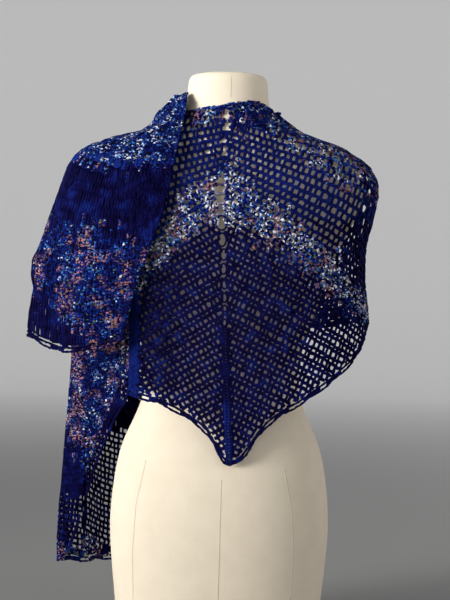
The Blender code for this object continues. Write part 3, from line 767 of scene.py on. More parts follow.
def spine_rows(drape, heights, side):
    """The rows that run down from the spine to one side."""
    start = drape.bearing_at(read_column(SPINE_LINE, 1, heights), heights)
    end = drape.bearings[-1] if side == RIGHT else drape.bearings[0]
    falls = read_column(ROW_FALLS, side, heights)
    bearings = start[:, None] + (end - start)[:, None] * np.linspace(0, 1, ROW_SAMPLES)
    levels = [heights]
    for step in range(1, ROW_SAMPLES):
        before = drape.point(bearings[:, step - 1], levels[-1])
        now = drape.point(bearings[:, step], levels[-1])
        levels.append(levels[-1] - falls * np.hypot(*(now - before)[:, :2].T))
    levels = np.stack(levels, 1)
    phases = np.random.default_rng(SEED).uniform(0, 2 * math.pi, (2, len(heights), 1))
    for phase, turn in zip(phases, (WOBBLE_TURN, WOBBLE_TURN * SHORTER_TURN)):
        levels = levels + WOBBLE / 2 * (np.sin(bearings * 2 * math.pi / turn + phase) - np.sin(phase))
    return [Row(drape, *line) for line in zip(bearings, levels)], np.sin(np.arctan(falls))


def lay_spine_side(cloth, side):
    """Openwork on one side of the spine, whose stitches stand square to their rows."""
    cloth.close_width = cloth.sizes.slit_pitch / MM / 2 * FOLD_SHARE
    heights, aside = spine_heights(cloth.sizes)
    rows, leans = spine_rows(cloth.drape, heights, side)
    gaps = spine_gaps(heights)
    phase = 0.0
    for index, row in enumerate(rows[:-1]):
        dotted = heights[index] > TALL_ROWS_FROM
        half = (cloth.sizes.dotted_pitch if dotted else cloth.sizes.slit_pitch) / MM / 2
        phase += half if aside[index] else 0.0
        slip = (heights[index] - heights[index + 1]) * leans[index]
        first = math.ceil((gaps[index] - phase) / half)
        last = int((max(row.length[-1], rows[index + 1].length[-1] + slip) - phase) / half)
        numbers = np.arange(first, last + 1)
        places = phase + numbers * half
        feet = np.maximum(places - slip, gaps[index + 1])
        cloth.lay_posts(row.at(places), rows[index + 1].at(feet), numbers % 2 == 1)
        start = row.at(gaps[index])
        bearings = np.concatenate([[start[0]], row.bearings[row.length > gaps[index]]])
        line = np.concatenate([[start[1]], row.heights[row.length > gaps[index]]])
        cloth.lay_chain(bearings, line)
        phase -= slip


def lay_hanging_rows(cloth, rows, pitch):
    """Stitches that hang straight down from row to row."""
    cloth.close_width = pitch * CLOSE_SHARE
    for index, row in enumerate(rows[:-1]):
        places = np.arange(pitch / 2, row.length[-1], pitch)
        tops = row.at(places)
        cloth.lay_posts(tops, rows[index + 1].below(tops[:, 0]), np.arange(len(places)) % 2 == 1)
        cloth.lay_chain(row.bearings, row.heights)


def share_rows(drape, count):
    """Rows at even shares of the cloth between its upper edge and its hem."""
    columns = np.flatnonzero(drape.some)
    rows = []
    for part in np.linspace(0, 1, count + 1):
        heights = []
        for column in columns:
            start = drape.fall_at(column, drape.top[column])
            end = drape.fall_at(column, drape.bottom[column])
            heights.append(drape.height_after(column, start + (end - start) * part))
        rows.append(Row(drape, drape.bearings[columns], heights))
    return rows


def fallen_rows(drape, spacing):
    """Rows at a steady spacing, measured down the cloth from its highest level."""
    columns = np.flatnonzero(drape.some)
    longest = max(drape.fall_at(column, drape.bottom[column]) for column in columns)
    rows = []
    for fall in np.arange(0, longest + spacing, spacing):
        heights = [drape.height_after(column, fall) for column in columns]
        rows.append(Row(drape, drape.bearings[columns], heights))
    return rows


def lay_edge(cloth, heights, lift=0.0):
    """A cord along an upper edge or a hem, given as a height at each bearing."""
    drape = cloth.drape
    there = np.flatnonzero(drape.some)
    cord = cloth.sizes.cord_radius / MM
    breaks = np.flatnonzero(np.abs(np.diff(heights[there])) > EDGE_JUMP) + 1
    for run in np.split(there, breaks):
        if len(run) > 3:
            cloth.lay_chain(drape.bearings[run], heights[run], cord, cord, keep_inside=False, lift=lift)


def lay_eyelets(cloth):
    """A ring of yarn round each wide eyelet, and a bridge across the spine between two near ones."""
    radius = cloth.sizes.post_depth / MM
    for above, below in zip(SPINE_EYELETS, SPINE_EYELETS[1:]):
        level = (above[1] - above[3] / 2 + below[1] + below[3] / 2) / 2
        if above[1] - below[1] > BRIDGED_BELOW or level < TALL_ROWS_FROM - 20:
            continue
        half = max(above[2], below[2]) / 2 + 4
        across = (above[0] + below[0]) / 2 + np.linspace(-half, half, POST_RINGS + 2)
        levels = np.full(len(across), level)
        bearings = cloth.drape.bearing_at(across, levels)
        outs = cloth.drape.normal(bearings, levels)
        centres = cloth.drape.point(bearings, levels) - outs * (cloth.sizes.sink / MM)
        marks = cloth.marks(centres)[None]
        cloth.strands.add(centres[None], outs[None], radius * BRIDGE_FLATNESS, radius, POST_SIDES, marks)
    turn = np.arange(EYELET_RINGS) * 2 * math.pi / EYELET_RINGS
    for across, height, width, tall in SPINE_EYELETS:
        if height > TALL_ROWS_FROM:
            continue
        levels = height + np.sin(turn) * (tall / 2 + 1)
        bearings = cloth.drape.bearing_at(across + np.cos(turn) * (width / 2 + 1), levels)
        outs = cloth.drape.normal(bearings, levels)
        centres = cloth.drape.point(bearings, levels) - outs * (cloth.sizes.sink / MM - 0.4)
        marks = cloth.marks(centres.mean(axis=0)[None]) * np.array([0.0, 1.0, 1.0])
        cloth.strands.add(centres[None], outs[None], radius, radius, CHAIN_SIDES, marks, ring=True)


def lay_ridge(cloth):
    """The raised braid down the lower spine: pairs of slanting stitches that lap over each other."""
    heights = np.arange(RIDGE_TOP, RIDGE_FOOT, -RIDGE_STEP)
    middle = read_column(SPINE_LINE, 1, heights)
    radius = cloth.sizes.ridge_radius / MM
    share = np.linspace(0, 1, POST_RINGS)
    for side in (-1, 1):
        levels = heights[:, None] + RIDGE_RISE - share * RIDGE_DROP
        across = middle[:, None] + side * (RIDGE_HALF_WIDTH - share * (RIDGE_HALF_WIDTH - 0.6))
        bearings = cloth.drape.bearing_at(across, levels)
        outs = cloth.drape.normal(bearings, levels)
        centres = cloth.drape.point(bearings, levels) + outs * RIDGE_LIFTS[None, :, None]
        marks = cloth.marks(centres[:, 1])
        marks[:, 0] = 0.0
        # Painted highlight: the lower ridge is turned royal, more so further down, for the light along the
        # spine's fold
        marks[:, 1] = np.clip((RIDGE_HIGHLIGHT_BELOW - heights) / 60, 0, RIDGE_HIGHLIGHT_MOST)
        wide = radius * RIDGE_WIDTHS
        cloth.strands.add(centres, outs, wide, wide, POST_SIDES, marks)


# Materials


def new_material(name):
    material = bpy.data.materials.new(name)
    material.use_nodes = True
    return material, material.node_tree.nodes, material.node_tree.links


def add_node(nodes, kind, **settings):
    node = nodes.new(kind)
    for name, value in settings.items():
        setattr(node, name, value)
    return node


def set_inputs(node, **values):
    for name, value in values.items():
        node.inputs[name.replace("_", " ")].default_value = value


def ramp(nodes, stops, interpolation="LINEAR"):
    node = add_node(nodes, "ShaderNodeValToRGB")
    node.color_ramp.interpolation = interpolation
    elements = node.color_ramp.elements
    while len(elements) < len(stops):
        elements.new(0.5)
    for element, (position, tone) in zip(elements, stops):
        element.position = position
        element.color = (*tone, 1.0)
    return node


def reckon(nodes, links, operation, *values, clamp=False):
    """A sum or product of sockets and plain numbers."""
    node = add_node(nodes, "ShaderNodeMath", operation=operation, use_clamp=clamp)
    for socket, value in zip(node.inputs, values):
        if isinstance(value, bpy.types.NodeSocket):
            links.new(value, socket)
        else:
            socket.default_value = value
    return node.outputs[0]


def noise(nodes, links, place, **values):
    """Noise over the object."""
    node = add_node(nodes, "ShaderNodeTexNoise")
    set_inputs(node, **values)
    links.new(place.outputs["Object"], node.inputs["Vector"])
    return node.outputs["Fac"]


def raise_bump(nodes, links, shader, height, strength, distance):
    bump = add_node(nodes, "ShaderNodeBump")
    set_inputs(bump, Strength=strength, Distance=distance)
    links.new(height, bump.inputs["Height"])
    links.new(bump.outputs["Normal"], shader.inputs["Normal"])


def grey(value):
    return (value, value, value)


def mix(nodes, links, factor, first, second, blend="MIX"):
    """A colour mix whose inputs are sockets or plain colours."""
    node = add_node(nodes, "ShaderNodeMix", data_type="RGBA", blend_type=blend)
    for socket, value in ((0, factor), (6, first), (7, second)):
        if isinstance(value, bpy.types.NodeSocket):
            links.new(value, node.inputs[socket])
        else:
            node.inputs[socket].default_value = value if socket == 0 else (*value, 1.0)
    return node.outputs[2]


def fleck_group(colours):
    """Speckled yarn: short lengths of many blues, with white, coral and olive among them."""
    group = bpy.data.node_groups.get("yarn_flecks")
    if group:
        return group
    group = bpy.data.node_groups.new("yarn_flecks", "ShaderNodeTree")
    for name in ("Stitch", "Blue", "Share"):
        group.interface.new_socket(name, in_out="INPUT", socket_type="NodeSocketFloat")
    group.interface.new_socket("Colour", in_out="OUTPUT", socket_type="NodeSocketColor")
    nodes, links = group.nodes, group.links
    start, end = add_node(nodes, "NodeGroupInput"), add_node(nodes, "NodeGroupOutput")
    place = add_node(nodes, "ShaderNodeTexCoord")
    chart = add_node(nodes, "ShaderNodeUVMap", uv_map="yarn")
    stretch = add_node(nodes, "ShaderNodeMapping")
    stretch.inputs["Scale"].default_value = (0.50, 3.0, 1.0)
    links.new(chart.outputs["UV"], stretch.inputs["Vector"])
    own = reckon(nodes, links, "MULTIPLY", start.outputs["Stitch"], FLECK_SHIFT)
    shifted = add_node(nodes, "ShaderNodeVectorMath", operation="ADD")
    links.new(stretch.outputs["Vector"], shifted.inputs[0])
    links.new(own, shifted.inputs[1])
    cells = add_node(nodes, "ShaderNodeTexVoronoi")
    set_inputs(cells, Scale=1.0, Randomness=1.0)
    links.new(shifted.outputs["Vector"], cells.inputs["Vector"])
    split = add_node(nodes, "ShaderNodeSeparateColor")
    links.new(cells.outputs["Color"], split.inputs["Color"])
    blues = ramp(
        nodes,
        (
            (0.00, colours.deep_navy),
            (0.20, colours.navy),
            (0.42, colours.royal),
            (0.74, colours.sky),
            (0.86, colours.white),
        ),
        "CONSTANT",
    )
    lightness = reckon(nodes, links, "MULTIPLY", split.outputs["Red"], start.outputs["Share"])
    shadow = noise(nodes, links, place, Scale=52.0, Detail=2.0)
    patchy = add_node(nodes, "ShaderNodeMapRange")
    set_inputs(patchy, From_Min=0.38, From_Max=0.60, To_Min=0.66, To_Max=1.06)
    links.new(shadow, patchy.inputs["Value"])
    drifted = reckon(nodes, links, "MULTIPLY", lightness, patchy.outputs["Result"])
    links.new(drifted, blues.inputs["Fac"])
    clusters = noise(nodes, links, place, Scale=34.0, Detail=2.0)
    patches = ramp(nodes, ((0.49, grey(0.0)), (0.60, grey(1.0))))
    links.new(clusters, patches.inputs["Fac"])
    chosen = ramp(nodes, ((0.0, grey(0.0)), (0.72, grey(1.0))), "CONSTANT")
    links.new(split.outputs["Green"], chosen.inputs["Fac"])
    both = reckon(nodes, links, "MULTIPLY", patches.outputs["Color"], chosen.outputs["Color"])
    left = reckon(nodes, links, "SUBTRACT", both, start.outputs["Blue"], clamp=True)
    warm = mix(nodes, links, left, blues.outputs["Color"], tuple(colours.coral))
    rare = ramp(nodes, ((0.0, grey(0.0)), (0.98, grey(1.0))), "CONSTANT")
    links.new(split.outputs["Blue"], rare.inputs["Fac"])
    odd = mix(nodes, links, rare.outputs["Color"], warm, tuple(colours.olive))
    shade = add_node(nodes, "ShaderNodeMapRange")
    set_inputs(shade, To_Min=0.8, To_Max=1.15)
    links.new(start.outputs["Stitch"], shade.inputs["Value"])
    final = mix(nodes, links, 1.0, odd, shade.outputs["Result"], "MULTIPLY")
    links.new(final, end.inputs["Colour"])
    return group


def ply_group():
    """The twist of the yarn's plies and its fuzz, as a height."""
    group = bpy.data.node_groups.get("yarn_plies")
    if group:
        return group
    group = bpy.data.node_groups.new("yarn_plies", "ShaderNodeTree")
    group.interface.new_socket("Twist", in_out="INPUT", socket_type="NodeSocketFloat").default_value = 0.45
    group.interface.new_socket("Height", in_out="OUTPUT", socket_type="NodeSocketFloat")
    nodes, links = group.nodes, group.links
    start, end = add_node(nodes, "NodeGroupInput"), add_node(nodes, "NodeGroupOutput")
    chart = add_node(nodes, "ShaderNodeUVMap", uv_map="yarn")
    split = add_node(nodes, "ShaderNodeSeparateXYZ")
    links.new(chart.outputs["UV"], split.inputs["Vector"])
    along = reckon(nodes, links, "MULTIPLY", split.outputs["X"], start.outputs["Twist"])
    turned = reckon(nodes, links, "MULTIPLY_ADD", split.outputs["Y"], YARN_PLIES, along)
    angle = reckon(nodes, links, "MULTIPLY", turned, 2 * math.pi)
    wave = reckon(nodes, links, "SINE", angle)
    place = add_node(nodes, "ShaderNodeTexCoord")
    fuzz = noise(nodes, links, place, Scale=900.0, Detail=3.0)
    total = reckon(nodes, links, "MULTIPLY_ADD", wave, 0.5, fuzz)
    links.new(total, end.inputs["Height"])
    return group


def yarn_material(name):
    """Woollen yarn, plain navy or speckled as the stitches' marks say."""
    existing = bpy.data.materials.get(name)
    if existing:
        return existing
    colours = bpy.context.scene.wrap_colours
    material, nodes, links = new_material(name)
    shader = nodes["Principled BSDF"]
    marks = {}
    for mark in ("speckled", "royal", "chance"):
        marks[mark] = add_node(nodes, "ShaderNodeAttribute", attribute_name=mark).outputs["Fac"]
    flecks = add_node(nodes, "ShaderNodeGroup", node_tree=fleck_group(colours))
    links.new(marks["chance"], flecks.inputs["Stitch"])
    links.new(marks["royal"], flecks.inputs["Blue"])
    links.new(marks["speckled"], flecks.inputs["Share"])
    place = add_node(nodes, "ShaderNodeTexCoord")
    # Painted highlight and painted shade: noise turns the plain yarn royal in patches for gloss along the
    # strands, and deep navy for the dark between them
    gloss_and_shade_noise = noise(nodes, links, place, Scale=60.0, Detail=3.0)
    tones = ramp(nodes, ((0.38, colours.deep_navy), (0.56, colours.navy), (0.80, colours.royal)))
    links.new(gloss_and_shade_noise, tones.inputs["Fac"])
    plain = mix(nodes, links, marks["royal"], tones.outputs["Color"], tuple(colours.royal))
    is_flecked = reckon(nodes, links, "MULTIPLY", marks["speckled"], FLECKED_FULLY, clamp=True)
    both = mix(nodes, links, is_flecked, plain, flecks.outputs["Colour"])
    links.new(both, shader.inputs["Base Color"])
    set_inputs(shader, Roughness=0.6)
    shader.inputs["Specular IOR Level"].default_value = 0.02
    plies = add_node(nodes, "ShaderNodeGroup", node_tree=ply_group())
    raise_bump(nodes, links, shader, plies.outputs["Height"], 0.55, 0.0006)
    return material


def cover_material(name, is_seam):
    """Fine cotton of the form's cover, with a plain weave and a little slub, darkened on the seams as painted
    shade of their grooves.
    """
    existing = bpy.data.materials.get(name)
    if existing:
        return existing
    colours = bpy.context.scene.wrap_colours
    material, nodes, links = new_material(name)
    shader = nodes["Principled BSDF"]
    place = add_node(nodes, "ShaderNodeTexCoord")
    heights = []
    for turn in ("X", "Z"):
        threads = add_node(nodes, "ShaderNodeTexWave", wave_type="BANDS", bands_direction=turn)
        set_inputs(threads, Scale=420.0, Distortion=1.2, Detail=1.0)
        links.new(place.outputs["Object"], threads.inputs["Vector"])
        heights.append(threads.outputs["Fac"])
    weave = reckon(nodes, links, "MULTIPLY", *heights)
    slub = noise(nodes, links, place, Scale=35.0, Detail=5.0, Roughness=0.6)
    tones = ramp(nodes, ((0.3, colours.thread_tone_and_seam_shade), (0.62, colours.cover)))
    links.new(slub, tones.inputs["Fac"])
    body = mix(nodes, links, 0.25, tuple(colours.cover), tones.outputs["Color"])
    # Painted shade: the seams take three quarters of the darker tone for the shade in their grooves
    tone = mix(nodes, links, 0.75 if is_seam else 0.0, body, tuple(colours.thread_tone_and_seam_shade))
    links.new(tone, shader.inputs["Base Color"])
    set_inputs(shader, Roughness=0.85)
    shader.inputs["Specular IOR Level"].default_value = 0.1
    raise_bump(nodes, links, shader, weave, 0.35, 0.0003)
    return material


def floor_material(stage):
    """A plain pale floor with painted light: darker under the form as painted shade, lighter towards its
    rise, which glows by emission.
    """
    material, nodes, links = new_material("floor")
    shader = nodes["Principled BSDF"]
    place = add_node(nodes, "ShaderNodeTexCoord")
    far = add_node(nodes, "ShaderNodeVectorMath", operation="LENGTH")
    links.new(place.outputs["Object"], far.inputs[0])
    share = add_node(nodes, "ShaderNodeMapRange", interpolation_type="SMOOTHSTEP")
    set_inputs(share, From_Min=0.3, From_Max=stage.floor_radius + 2.0)
    links.new(far.outputs["Value"], share.inputs["Value"])
    tone = mix(nodes, links, share.outputs["Result"], tuple(stage.shaded_near_floor), tuple(stage.lit_far_floor))
    links.new(tone, shader.inputs["Base Color"])
    # Painted light: the far floor and the rise glow by emission
    painted_glow = reckon(nodes, links, "MULTIPLY", share.outputs["Result"], stage.wall_painted_light)
    shader.inputs["Emission Color"].default_value = (1.0, 1.0, 1.0, 1.0)
    links.new(painted_glow, shader.inputs["Emission Strength"])
    set_inputs(shader, Roughness=0.9)
    shader.inputs["Specular IOR Level"].default_value = 0.1
    return material


# Pieces


def finish_yarn(cloth, node):
    """The piece of yarn that stands for a CAD wall, built with its material and hung on the root body, the
    wall itself hidden.
    """
    piece = cloth.strands.build(yarn_material("crocheted_yarn"))
    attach(piece, "root")
    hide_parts(node)


class WRAP_OT_form_cover(bpy.types.Operator):
    """Smooths the form and gives it its cotton cover and seams"""

    bl_idname = "wrap.form_cover"
    bl_label = "Form cover"

    def execute(self, context):
        bpy.ops.object.select_all(action="DESELECT")
        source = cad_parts["form_body"]
        mesh = source.data.copy()
        mesh.name = "form_cover"
        mesh.materials.clear()
        draft = bmesh.new()
        draft.from_mesh(mesh)
        bmesh.ops.remove_doubles(draft, verts=draft.verts, dist=0.01 * MM)
        bmesh.ops.join_triangles(
            draft, faces=draft.faces, angle_face_threshold=RIM_ANGLE, angle_shape_threshold=RIM_ANGLE
        )
        crease = draft.edges.layers.float.new("crease_edge")
        for edge in draft.edges:
            if edge.calc_face_angle(0.0) > RIM_ANGLE:
                edge[crease] = RIM_CREASE
        draft.to_mesh(mesh)
        draft.free()
        cover = bpy.data.objects.new("form_cover", mesh)
        context.scene.collection.objects.link(cover)
        mesh.materials.append(cover_material("cotton_cover", False))
        context.view_layer.objects.active = cover
        cover.select_set(True)
        smooth = cover.modifiers.new("rounded", "SUBSURF")
        smooth.levels = smooth.render_levels = 2
        bpy.ops.object.modifier_apply(modifier=smooth.name)
        bpy.ops.object.shade_smooth_by_angle(angle=SMOOTH_ANGLE)
        cover.select_set(False)
        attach(cover, "root")
        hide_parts("form_body")
        self.sew(context, cover)
        return {"FINISHED"}

    def sew(self, context, cover):
        """Thin raised seams that lie on the cover, whose darker tone is painted shade of the seam grooves."""
        radius = context.scene.wrap_yarn.seam_radius / MM
        corners = [vertex.co / MM for vertex in cover.data.vertices]
        tree = BVHTree.FromPolygons(corners, [face.vertices for face in cover.data.polygons])
        seams = Strands("form_seams")
        for lines, facing in ((BACK_SEAMS, -1.0), (FRONT_SEAMS, 1.0)):
            for line in lines:
                ends = [height for _, height in line]
                heights = np.arange(max(ends), min(ends), -SEAM_STEP)
                points, outs = [], []
                for height in heights:
                    across = float(read_column([(level, place) for place, level in line], 1, height))
                    found = tree.ray_cast(Vector((across, facing * FAR_OUT, height)), Vector((0, -facing, 0)))
                    if found[0] is not None:
                        points.append(found[0] - found[1] * SEAM_SINK)
                        outs.append(found[1])
                if len(points) > 2:
                    centres, outs = np.array(points)[None], np.array(outs)[None]
                    seams.add(centres, outs, radius * SEAM_FLATNESS, radius, POST_SIDES, [(0, 0, 0.5)])
        piece = seams.build(cover_material("cotton_seam", True))
        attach(piece, "root")


class WRAP_OT_back(bpy.types.Operator):
    """Crochets the back: openwork that runs down from the spine to both sides"""

    bl_idname = "wrap.back"
    bl_label = "Back"

    def execute(self, context):
        def is_speckled(across, depth, height):
            top = within_band(BACK_TOP_BAND, across, height) * TOP_BAND_SPECKLED
            second = within_band(BACK_SECOND_BAND, across, height) * SECOND_BAND_SPECKLED
            return np.maximum(top, second)

        def in_fold(across, depth, height):
            return (across < FOLD_ACROSS) & (height < FOLD_BELOW)

        def is_open(across, depth, height):
            beside = (across > CLOSE_ACROSS[0]) & (across < CLOSE_ACROSS[1]) & (height > CLOSE_ABOVE)
            return ~in_fold(across, depth, height) & ~beside

        def is_blue(across, depth, height):
            # Painted highlight: the fold's yarn is turned royal for the light on its edge; above the widest
            # eyelet the yarn is half royal
            return np.where(in_fold(across, depth, height), 1.0, (height > TALL_ROWS_FROM) * DOTTED_ROYAL)

        cloth = Cloth("back", "wrap_back", *BACK_TURN, is_speckled, is_open, is_blue, 0)
        at_top = cloth.drape.point(cloth.drape.bearings, cloth.drape.top)
        sag = read_column(NECK_EDGE, 1, at_top[:, 0])
        cloth.drape.top = np.where(at_top[:, 0] > SAG_FROM, np.minimum(cloth.drape.top, sag), cloth.drape.top)
        for side in (RIGHT, LEFT):
            lay_spine_side(cloth, side)
        lay_eyelets(cloth)
        lay_ridge(cloth)
        lay_edge(cloth, cloth.drape.top - EDGE_INSET)
        finish_yarn(cloth, "wrap_back")
        return {"FINISHED"}


class WRAP_OT_front(bpy.types.Operator):
    """Crochets the front, which runs on from the right side of the back"""

    bl_idname = "wrap.front"
    bl_label = "Front"

    def execute(self, context):
        def is_open(across, depth, height):
            return np.degrees(np.arctan2(depth, across)) < FRONT_GATHERED_FROM

        def is_speckled(across, depth, height):
            in_band = (height > FRONT_BAND[0]) & (height < FRONT_BAND[1])
            return (height > FRONT_TOP_ABOVE) | in_band

        cloth = Cloth("front", "wrap_front", *FRONT_TURN, is_speckled, is_open, nowhere, 1)
        heights, _ = spine_heights(cloth.sizes)
        whole = Drape("wrap_back", *BACK_TURN)
        starts = [row.heights[-1] for row in spine_rows(whole, heights, RIGHT)[0]]
        drape = cloth.drape
        middle = drape.point(drape.bearings, np.full(len(drape.bearings), FRONT_MIDDLE))
        distance = np.concatenate([[0], np.cumsum(np.linalg.norm(np.diff(middle, axis=0), axis=1))])
        falls = read_column(FRONT_FALLS, 1, distance)
        rows = [Row(drape, drape.bearings, start - falls) for start in starts]
        lay_hanging_rows(cloth, rows, cloth.sizes.slit_pitch / MM / 2)
        lay_edge(cloth, drape.top - EDGE_INSET)
        finish_yarn(cloth, "wrap_front")
        return {"FINISHED"}


class WRAP_OT_left_wing(bpy.types.Operator):
    """Crochets the deep fold that hangs at the left"""

    bl_idname = "wrap.left_wing"
    bl_label = "Left wing"

    def execute(self, context):
        def is_speckled(across, depth, height):
            return ~within_band(WING_NAVY, across, height) * WING_SPECKLED

        def is_open(across, depth, height):
            found = np.zeros(np.shape(height), bool)
            for least, most, low, high in WING_OPEN:
                found |= (across > least) & (across < most) & (height > low) & (height < high)
            return found

        cloth = Cloth("left_wing", "wrap_left_wing", *WING_TURN, is_speckled, is_open, nowhere, 2)
        cloth.open_size = WING_YARN_SHARE
        cloth.close_rings = WING_CLOSE_RINGS
        rows = fallen_rows(cloth.drape, cloth.sizes.wing_row / MM)
        lay_hanging_rows(cloth, rows, cloth.sizes.wing_pitch / MM / 2)
        finish_yarn(cloth, "wrap_left_wing")
        return {"FINISHED"}


class WRAP_OT_thrown_end(bpy.types.Operator):
    """Crochets the close end that is thrown over the left shoulder"""

    bl_idname = "wrap.thrown_end"
    bl_label = "Thrown end"

    def execute(self, context):
        def is_speckled(across, depth, height):
            navy = within_band(THROWN_NAVY_BAND, across, height)
            navy |= within_band(THROWN_NAVY_CORNER, across, height)
            upper = height > read_column(THROWN_NAVY_BAND, 1, across)
            top = np.where(across > COLLAR_ACROSS, COLLAR_SPECKLED, THROWN_TOP_SPECKLED)
            return ~navy * np.where(upper, top, THROWN_SPECKLED)

        def is_blue(across, depth, height):
            return (height > read_column(THROWN_NAVY_BAND, 1, across)) * THROWN_TOP_ROYAL

        cloth = Cloth("thrown_end", "wrap_thrown_end", *THROWN_TURN, is_speckled, nowhere, is_blue, 3)
        count = round(THROWN_DROP / (cloth.sizes.close_row / MM))
        rows = share_rows(cloth.drape, count)
        lay_hanging_rows(cloth, rows, cloth.sizes.close_pitch / MM)
        lay_edge(cloth, cloth.drape.top - EDGE_INSET)
        finish_yarn(cloth, "wrap_thrown_end")
        return {"FINISHED"}


class WRAP_OT_edgings(bpy.types.Operator):
    """Works the scalloped edgings: a cord along each hem and a looped cord below it"""

    bl_idname = "wrap.edgings"
    bl_label = "Edgings"

    def execute(self, context):
        def at_wing_hem(across, depth, height):
            return (height < WING_HEM_BELOW) * 1.0

        def is_dark(across, depth, height):
            return ~within_band(THROWN_NAVY_CORNER, across, height) * THROWN_EDGE_SPECKLED

        spans = {
            "back": BACK_TURN,
            "front": FRONT_TURN,
            "left_wing": WING_TURN,
            "thrown_end": THROWN_TURN,
        }
        for order, (name, (first, last)) in enumerate(spans.items()):
            node = f"wrap_{name}_edging"
            speckled = {"left_wing": at_wing_hem, "thrown_end": is_dark}.get(name, nowhere)
            cloth = Cloth(f"{name}_edging", node, first, last, speckled, nowhere, nowhere, 10 + order)
            cloth.drape = Drape(node, first, last, FINE_STEP)
            self.work(cloth)
            piece = cloth.strands.build(yarn_material("edge_cord_yarn"))
            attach(piece, "root")
            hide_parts(node)
        return {"FINISHED"}

    def work(self, cloth):
        """Two cords joined by short stitches, apart from a long loop in the middle of each scallop."""
        drape = cloth.drape
        width = drape.top - drape.bottom
        upper = drape.top - width * UPPER_CORD_IN
        lower = drape.bottom + width * LOWER_CORD_IN
        lay_edge(cloth, upper)
        lay_edge(cloth, lower, lift=LOWER_CORD_LIFT)
        bearings = drape.bearings[drape.some]
        upper, lower, width = [line[drape.some] for line in (upper, lower, width)]
        row = Row(drape, bearings, (upper + lower) / 2)
        reach = round(SCALLOP_LENGTH / (row.length[-1] / len(bearings)) / 2)
        widest = np.array([width[max(0, i - reach) : i + reach + 1].max() for i in range(len(width))])
        places = np.arange(2.0, row.length[-1], EDGE_STITCH)
        at = np.interp(places, row.length, bearings)
        closed = np.interp(at, bearings, width / widest) < LOOP_FROM
        at = at[closed]
        ends = [np.stack([at, np.interp(at, bearings, line)], -1) for line in (upper, lower)]
        share = np.linspace(0, 1, POST_RINGS)[None, :, None]
        path = ends[0][:, None] + (ends[1] - ends[0])[:, None] * share
        outs = drape.normal(path[..., 0], path[..., 1])
        centres = drape.point(path[..., 0], path[..., 1]) - outs * (cloth.sizes.sink / MM)
        wide, high = cloth.sizes.close_width / MM, cloth.sizes.close_depth / MM
        cloth.strands.add(centres, outs, wide, high, POST_SIDES, cloth.marks(centres[:, 1]))


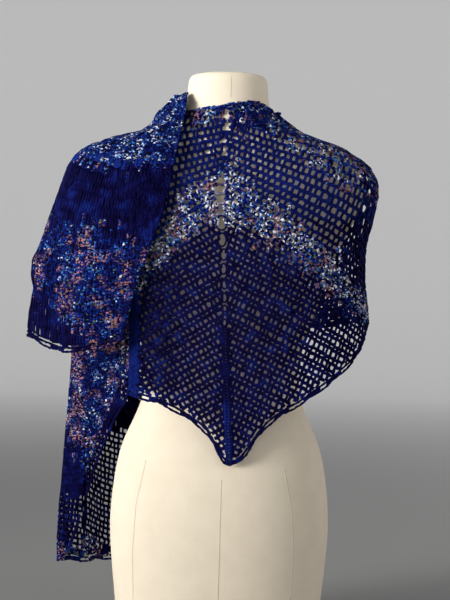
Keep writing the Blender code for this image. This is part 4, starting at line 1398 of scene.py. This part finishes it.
class WRAP_OT_stage(bpy.types.Operator):
    """Sets the floor, the light and the camera"""

    bl_idname = "wrap.stage"
    bl_label = "Stage"

    def execute(self, context):
        stage = context.scene.wrap_stage
        self.lay_floor(context, stage)
        self.hang_lights(context, stage)
        self.set_camera(context, stage)
        context.scene.view_settings.view_transform = "Standard"
        return {"FINISHED"}

    def lay_floor(self, context, stage):
        """A wide floor that rises all round into a plain wall."""
        bpy.ops.object.select_all(action="DESELECT")
        edge, bend = stage.floor_radius, FLOOR_BEND
        profile = [(radius, 0.0) for radius in (*FLAT_RINGS, edge)]
        for step in range(1, BEND_PARTS + 1):
            turn = math.radians(90 * step / BEND_PARTS)
            profile.append((edge + bend * math.sin(turn), bend * (1 - math.cos(turn))))
        profile.append((edge + bend, stage.wall_height))
        draft = bmesh.new()
        middle = draft.verts.new((0.0, 0.0, 0.0))
        count, rings = FLOOR_PARTS, []
        for radius, height in profile:
            turns = [2 * math.pi * index / count for index in range(count)]
            places = [(radius * math.cos(turn), radius * math.sin(turn), height) for turn in turns]
            rings.append([draft.verts.new(place) for place in places])
        for index in range(count):
            beside = (index + 1) % count
            draft.faces.new((middle, rings[0][index], rings[0][beside]))
            for inner, outer in zip(rings, rings[1:]):
                draft.faces.new((inner[index], outer[index], outer[beside], inner[beside]))
        mesh = bpy.data.meshes.new("floor")
        draft.to_mesh(mesh)
        draft.free()
        mesh.shade_smooth()
        floor = bpy.data.objects.new("floor", mesh)
        context.scene.collection.objects.link(floor)
        mesh.materials.append(floor_material(stage))

    def hang_lights(self, context, stage):
        lights = (
            ("key_light", (-3.0, -1.7, 1.3), 2.2, stage.key_power, (1.0, 0.99, 0.965)),
            ("fill_light", (2.8, -1.6, 1.2), 2.0, stage.fill_power, (1.0, 1.0, 1.0)),
        )
        for name, place, size, power, tone in lights:
            data = bpy.data.lights.new(name, "AREA")
            data.shape, data.size, data.energy, data.color = "DISK", size, power, tone
            data.spread = LIGHT_SPREAD
            light = bpy.data.objects.new(name, data)
            light.location = place
            aim = Vector(LIGHT_AIM) - Vector(place)
            light.rotation_euler = aim.to_track_quat("-Z", "Y").to_euler()
            context.scene.collection.objects.link(light)
        world = bpy.data.worlds.new("room")
        world.use_nodes = True
        sky = world.node_tree.nodes["Background"]
        sky.inputs["Color"].default_value = (*stage.room_tone, 1.0)
        sky.inputs["Strength"].default_value = stage.room_light
        context.scene.world = world

    def set_camera(self, context, stage):
        data = bpy.data.cameras.new("camera")
        data.sensor_fit = "VERTICAL"
        data.angle = 2 * math.atan(stage.seen_height / 2 / stage.camera_distance)
        camera = bpy.data.objects.new("camera", data)
        lean = stage.camera_lean
        right = Vector((math.cos(lean), 0.0, math.sin(lean)))
        back = Vector((0.0, -1.0, 0.0))
        up = back.cross(right)
        camera.matrix_world = Matrix.Translation(
            (stage.camera_across, -stage.camera_distance, stage.camera_height)
        ) @ Matrix((right, up, back)).transposed().to_4x4()
        context.scene.collection.objects.link(camera)
        context.scene.camera = camera


class WRAP_PT_wrap(bpy.types.Panel):
    """Lists the pieces of the wrap"""

    bl_idname = "WRAP_PT_wrap"
    bl_label = "Wrap"
    bl_space_type = "VIEW_3D"
    bl_region_type = "UI"
    bl_category = "Wrap"

    def draw(self, context):
        for piece in PIECES:
            self.layout.operator(piece.bl_idname)
        for group in (context.scene.wrap_yarn, context.scene.wrap_colours, context.scene.wrap_stage):
            box = self.layout.box()
            for name in group.__annotations__:
                box.prop(group, name)


PIECES = (
    WRAP_OT_form_cover,
    WRAP_OT_back,
    WRAP_OT_front,
    WRAP_OT_left_wing,
    WRAP_OT_thrown_end,
    WRAP_OT_edgings,
    WRAP_OT_stage,
)
CLASSES = (YarnSizes, WrapColours, StageSizes, *PIECES, WRAP_PT_wrap)


def register():
    for part in CLASSES:
        bpy.utils.register_class(part)
    bpy.types.Scene.wrap_yarn = bpy.props.PointerProperty(type=YarnSizes)
    bpy.types.Scene.wrap_colours = bpy.props.PointerProperty(type=WrapColours)
    bpy.types.Scene.wrap_stage = bpy.props.PointerProperty(type=StageSizes)


def unregister():
    for name in ("wrap_yarn", "wrap_colours", "wrap_stage"):
        delattr(bpy.types.Scene, name)
    for part in reversed(CLASSES):
        bpy.utils.unregister_class(part)


def main():
    register()
    bpy.ops.wrap.form_cover()
    bpy.ops.wrap.back()
    bpy.ops.wrap.front()
    bpy.ops.wrap.left_wing()
    bpy.ops.wrap.thrown_end()
    bpy.ops.wrap.edgings()
    bpy.ops.wrap.stage()


if __name__ == "__main__":
    main()
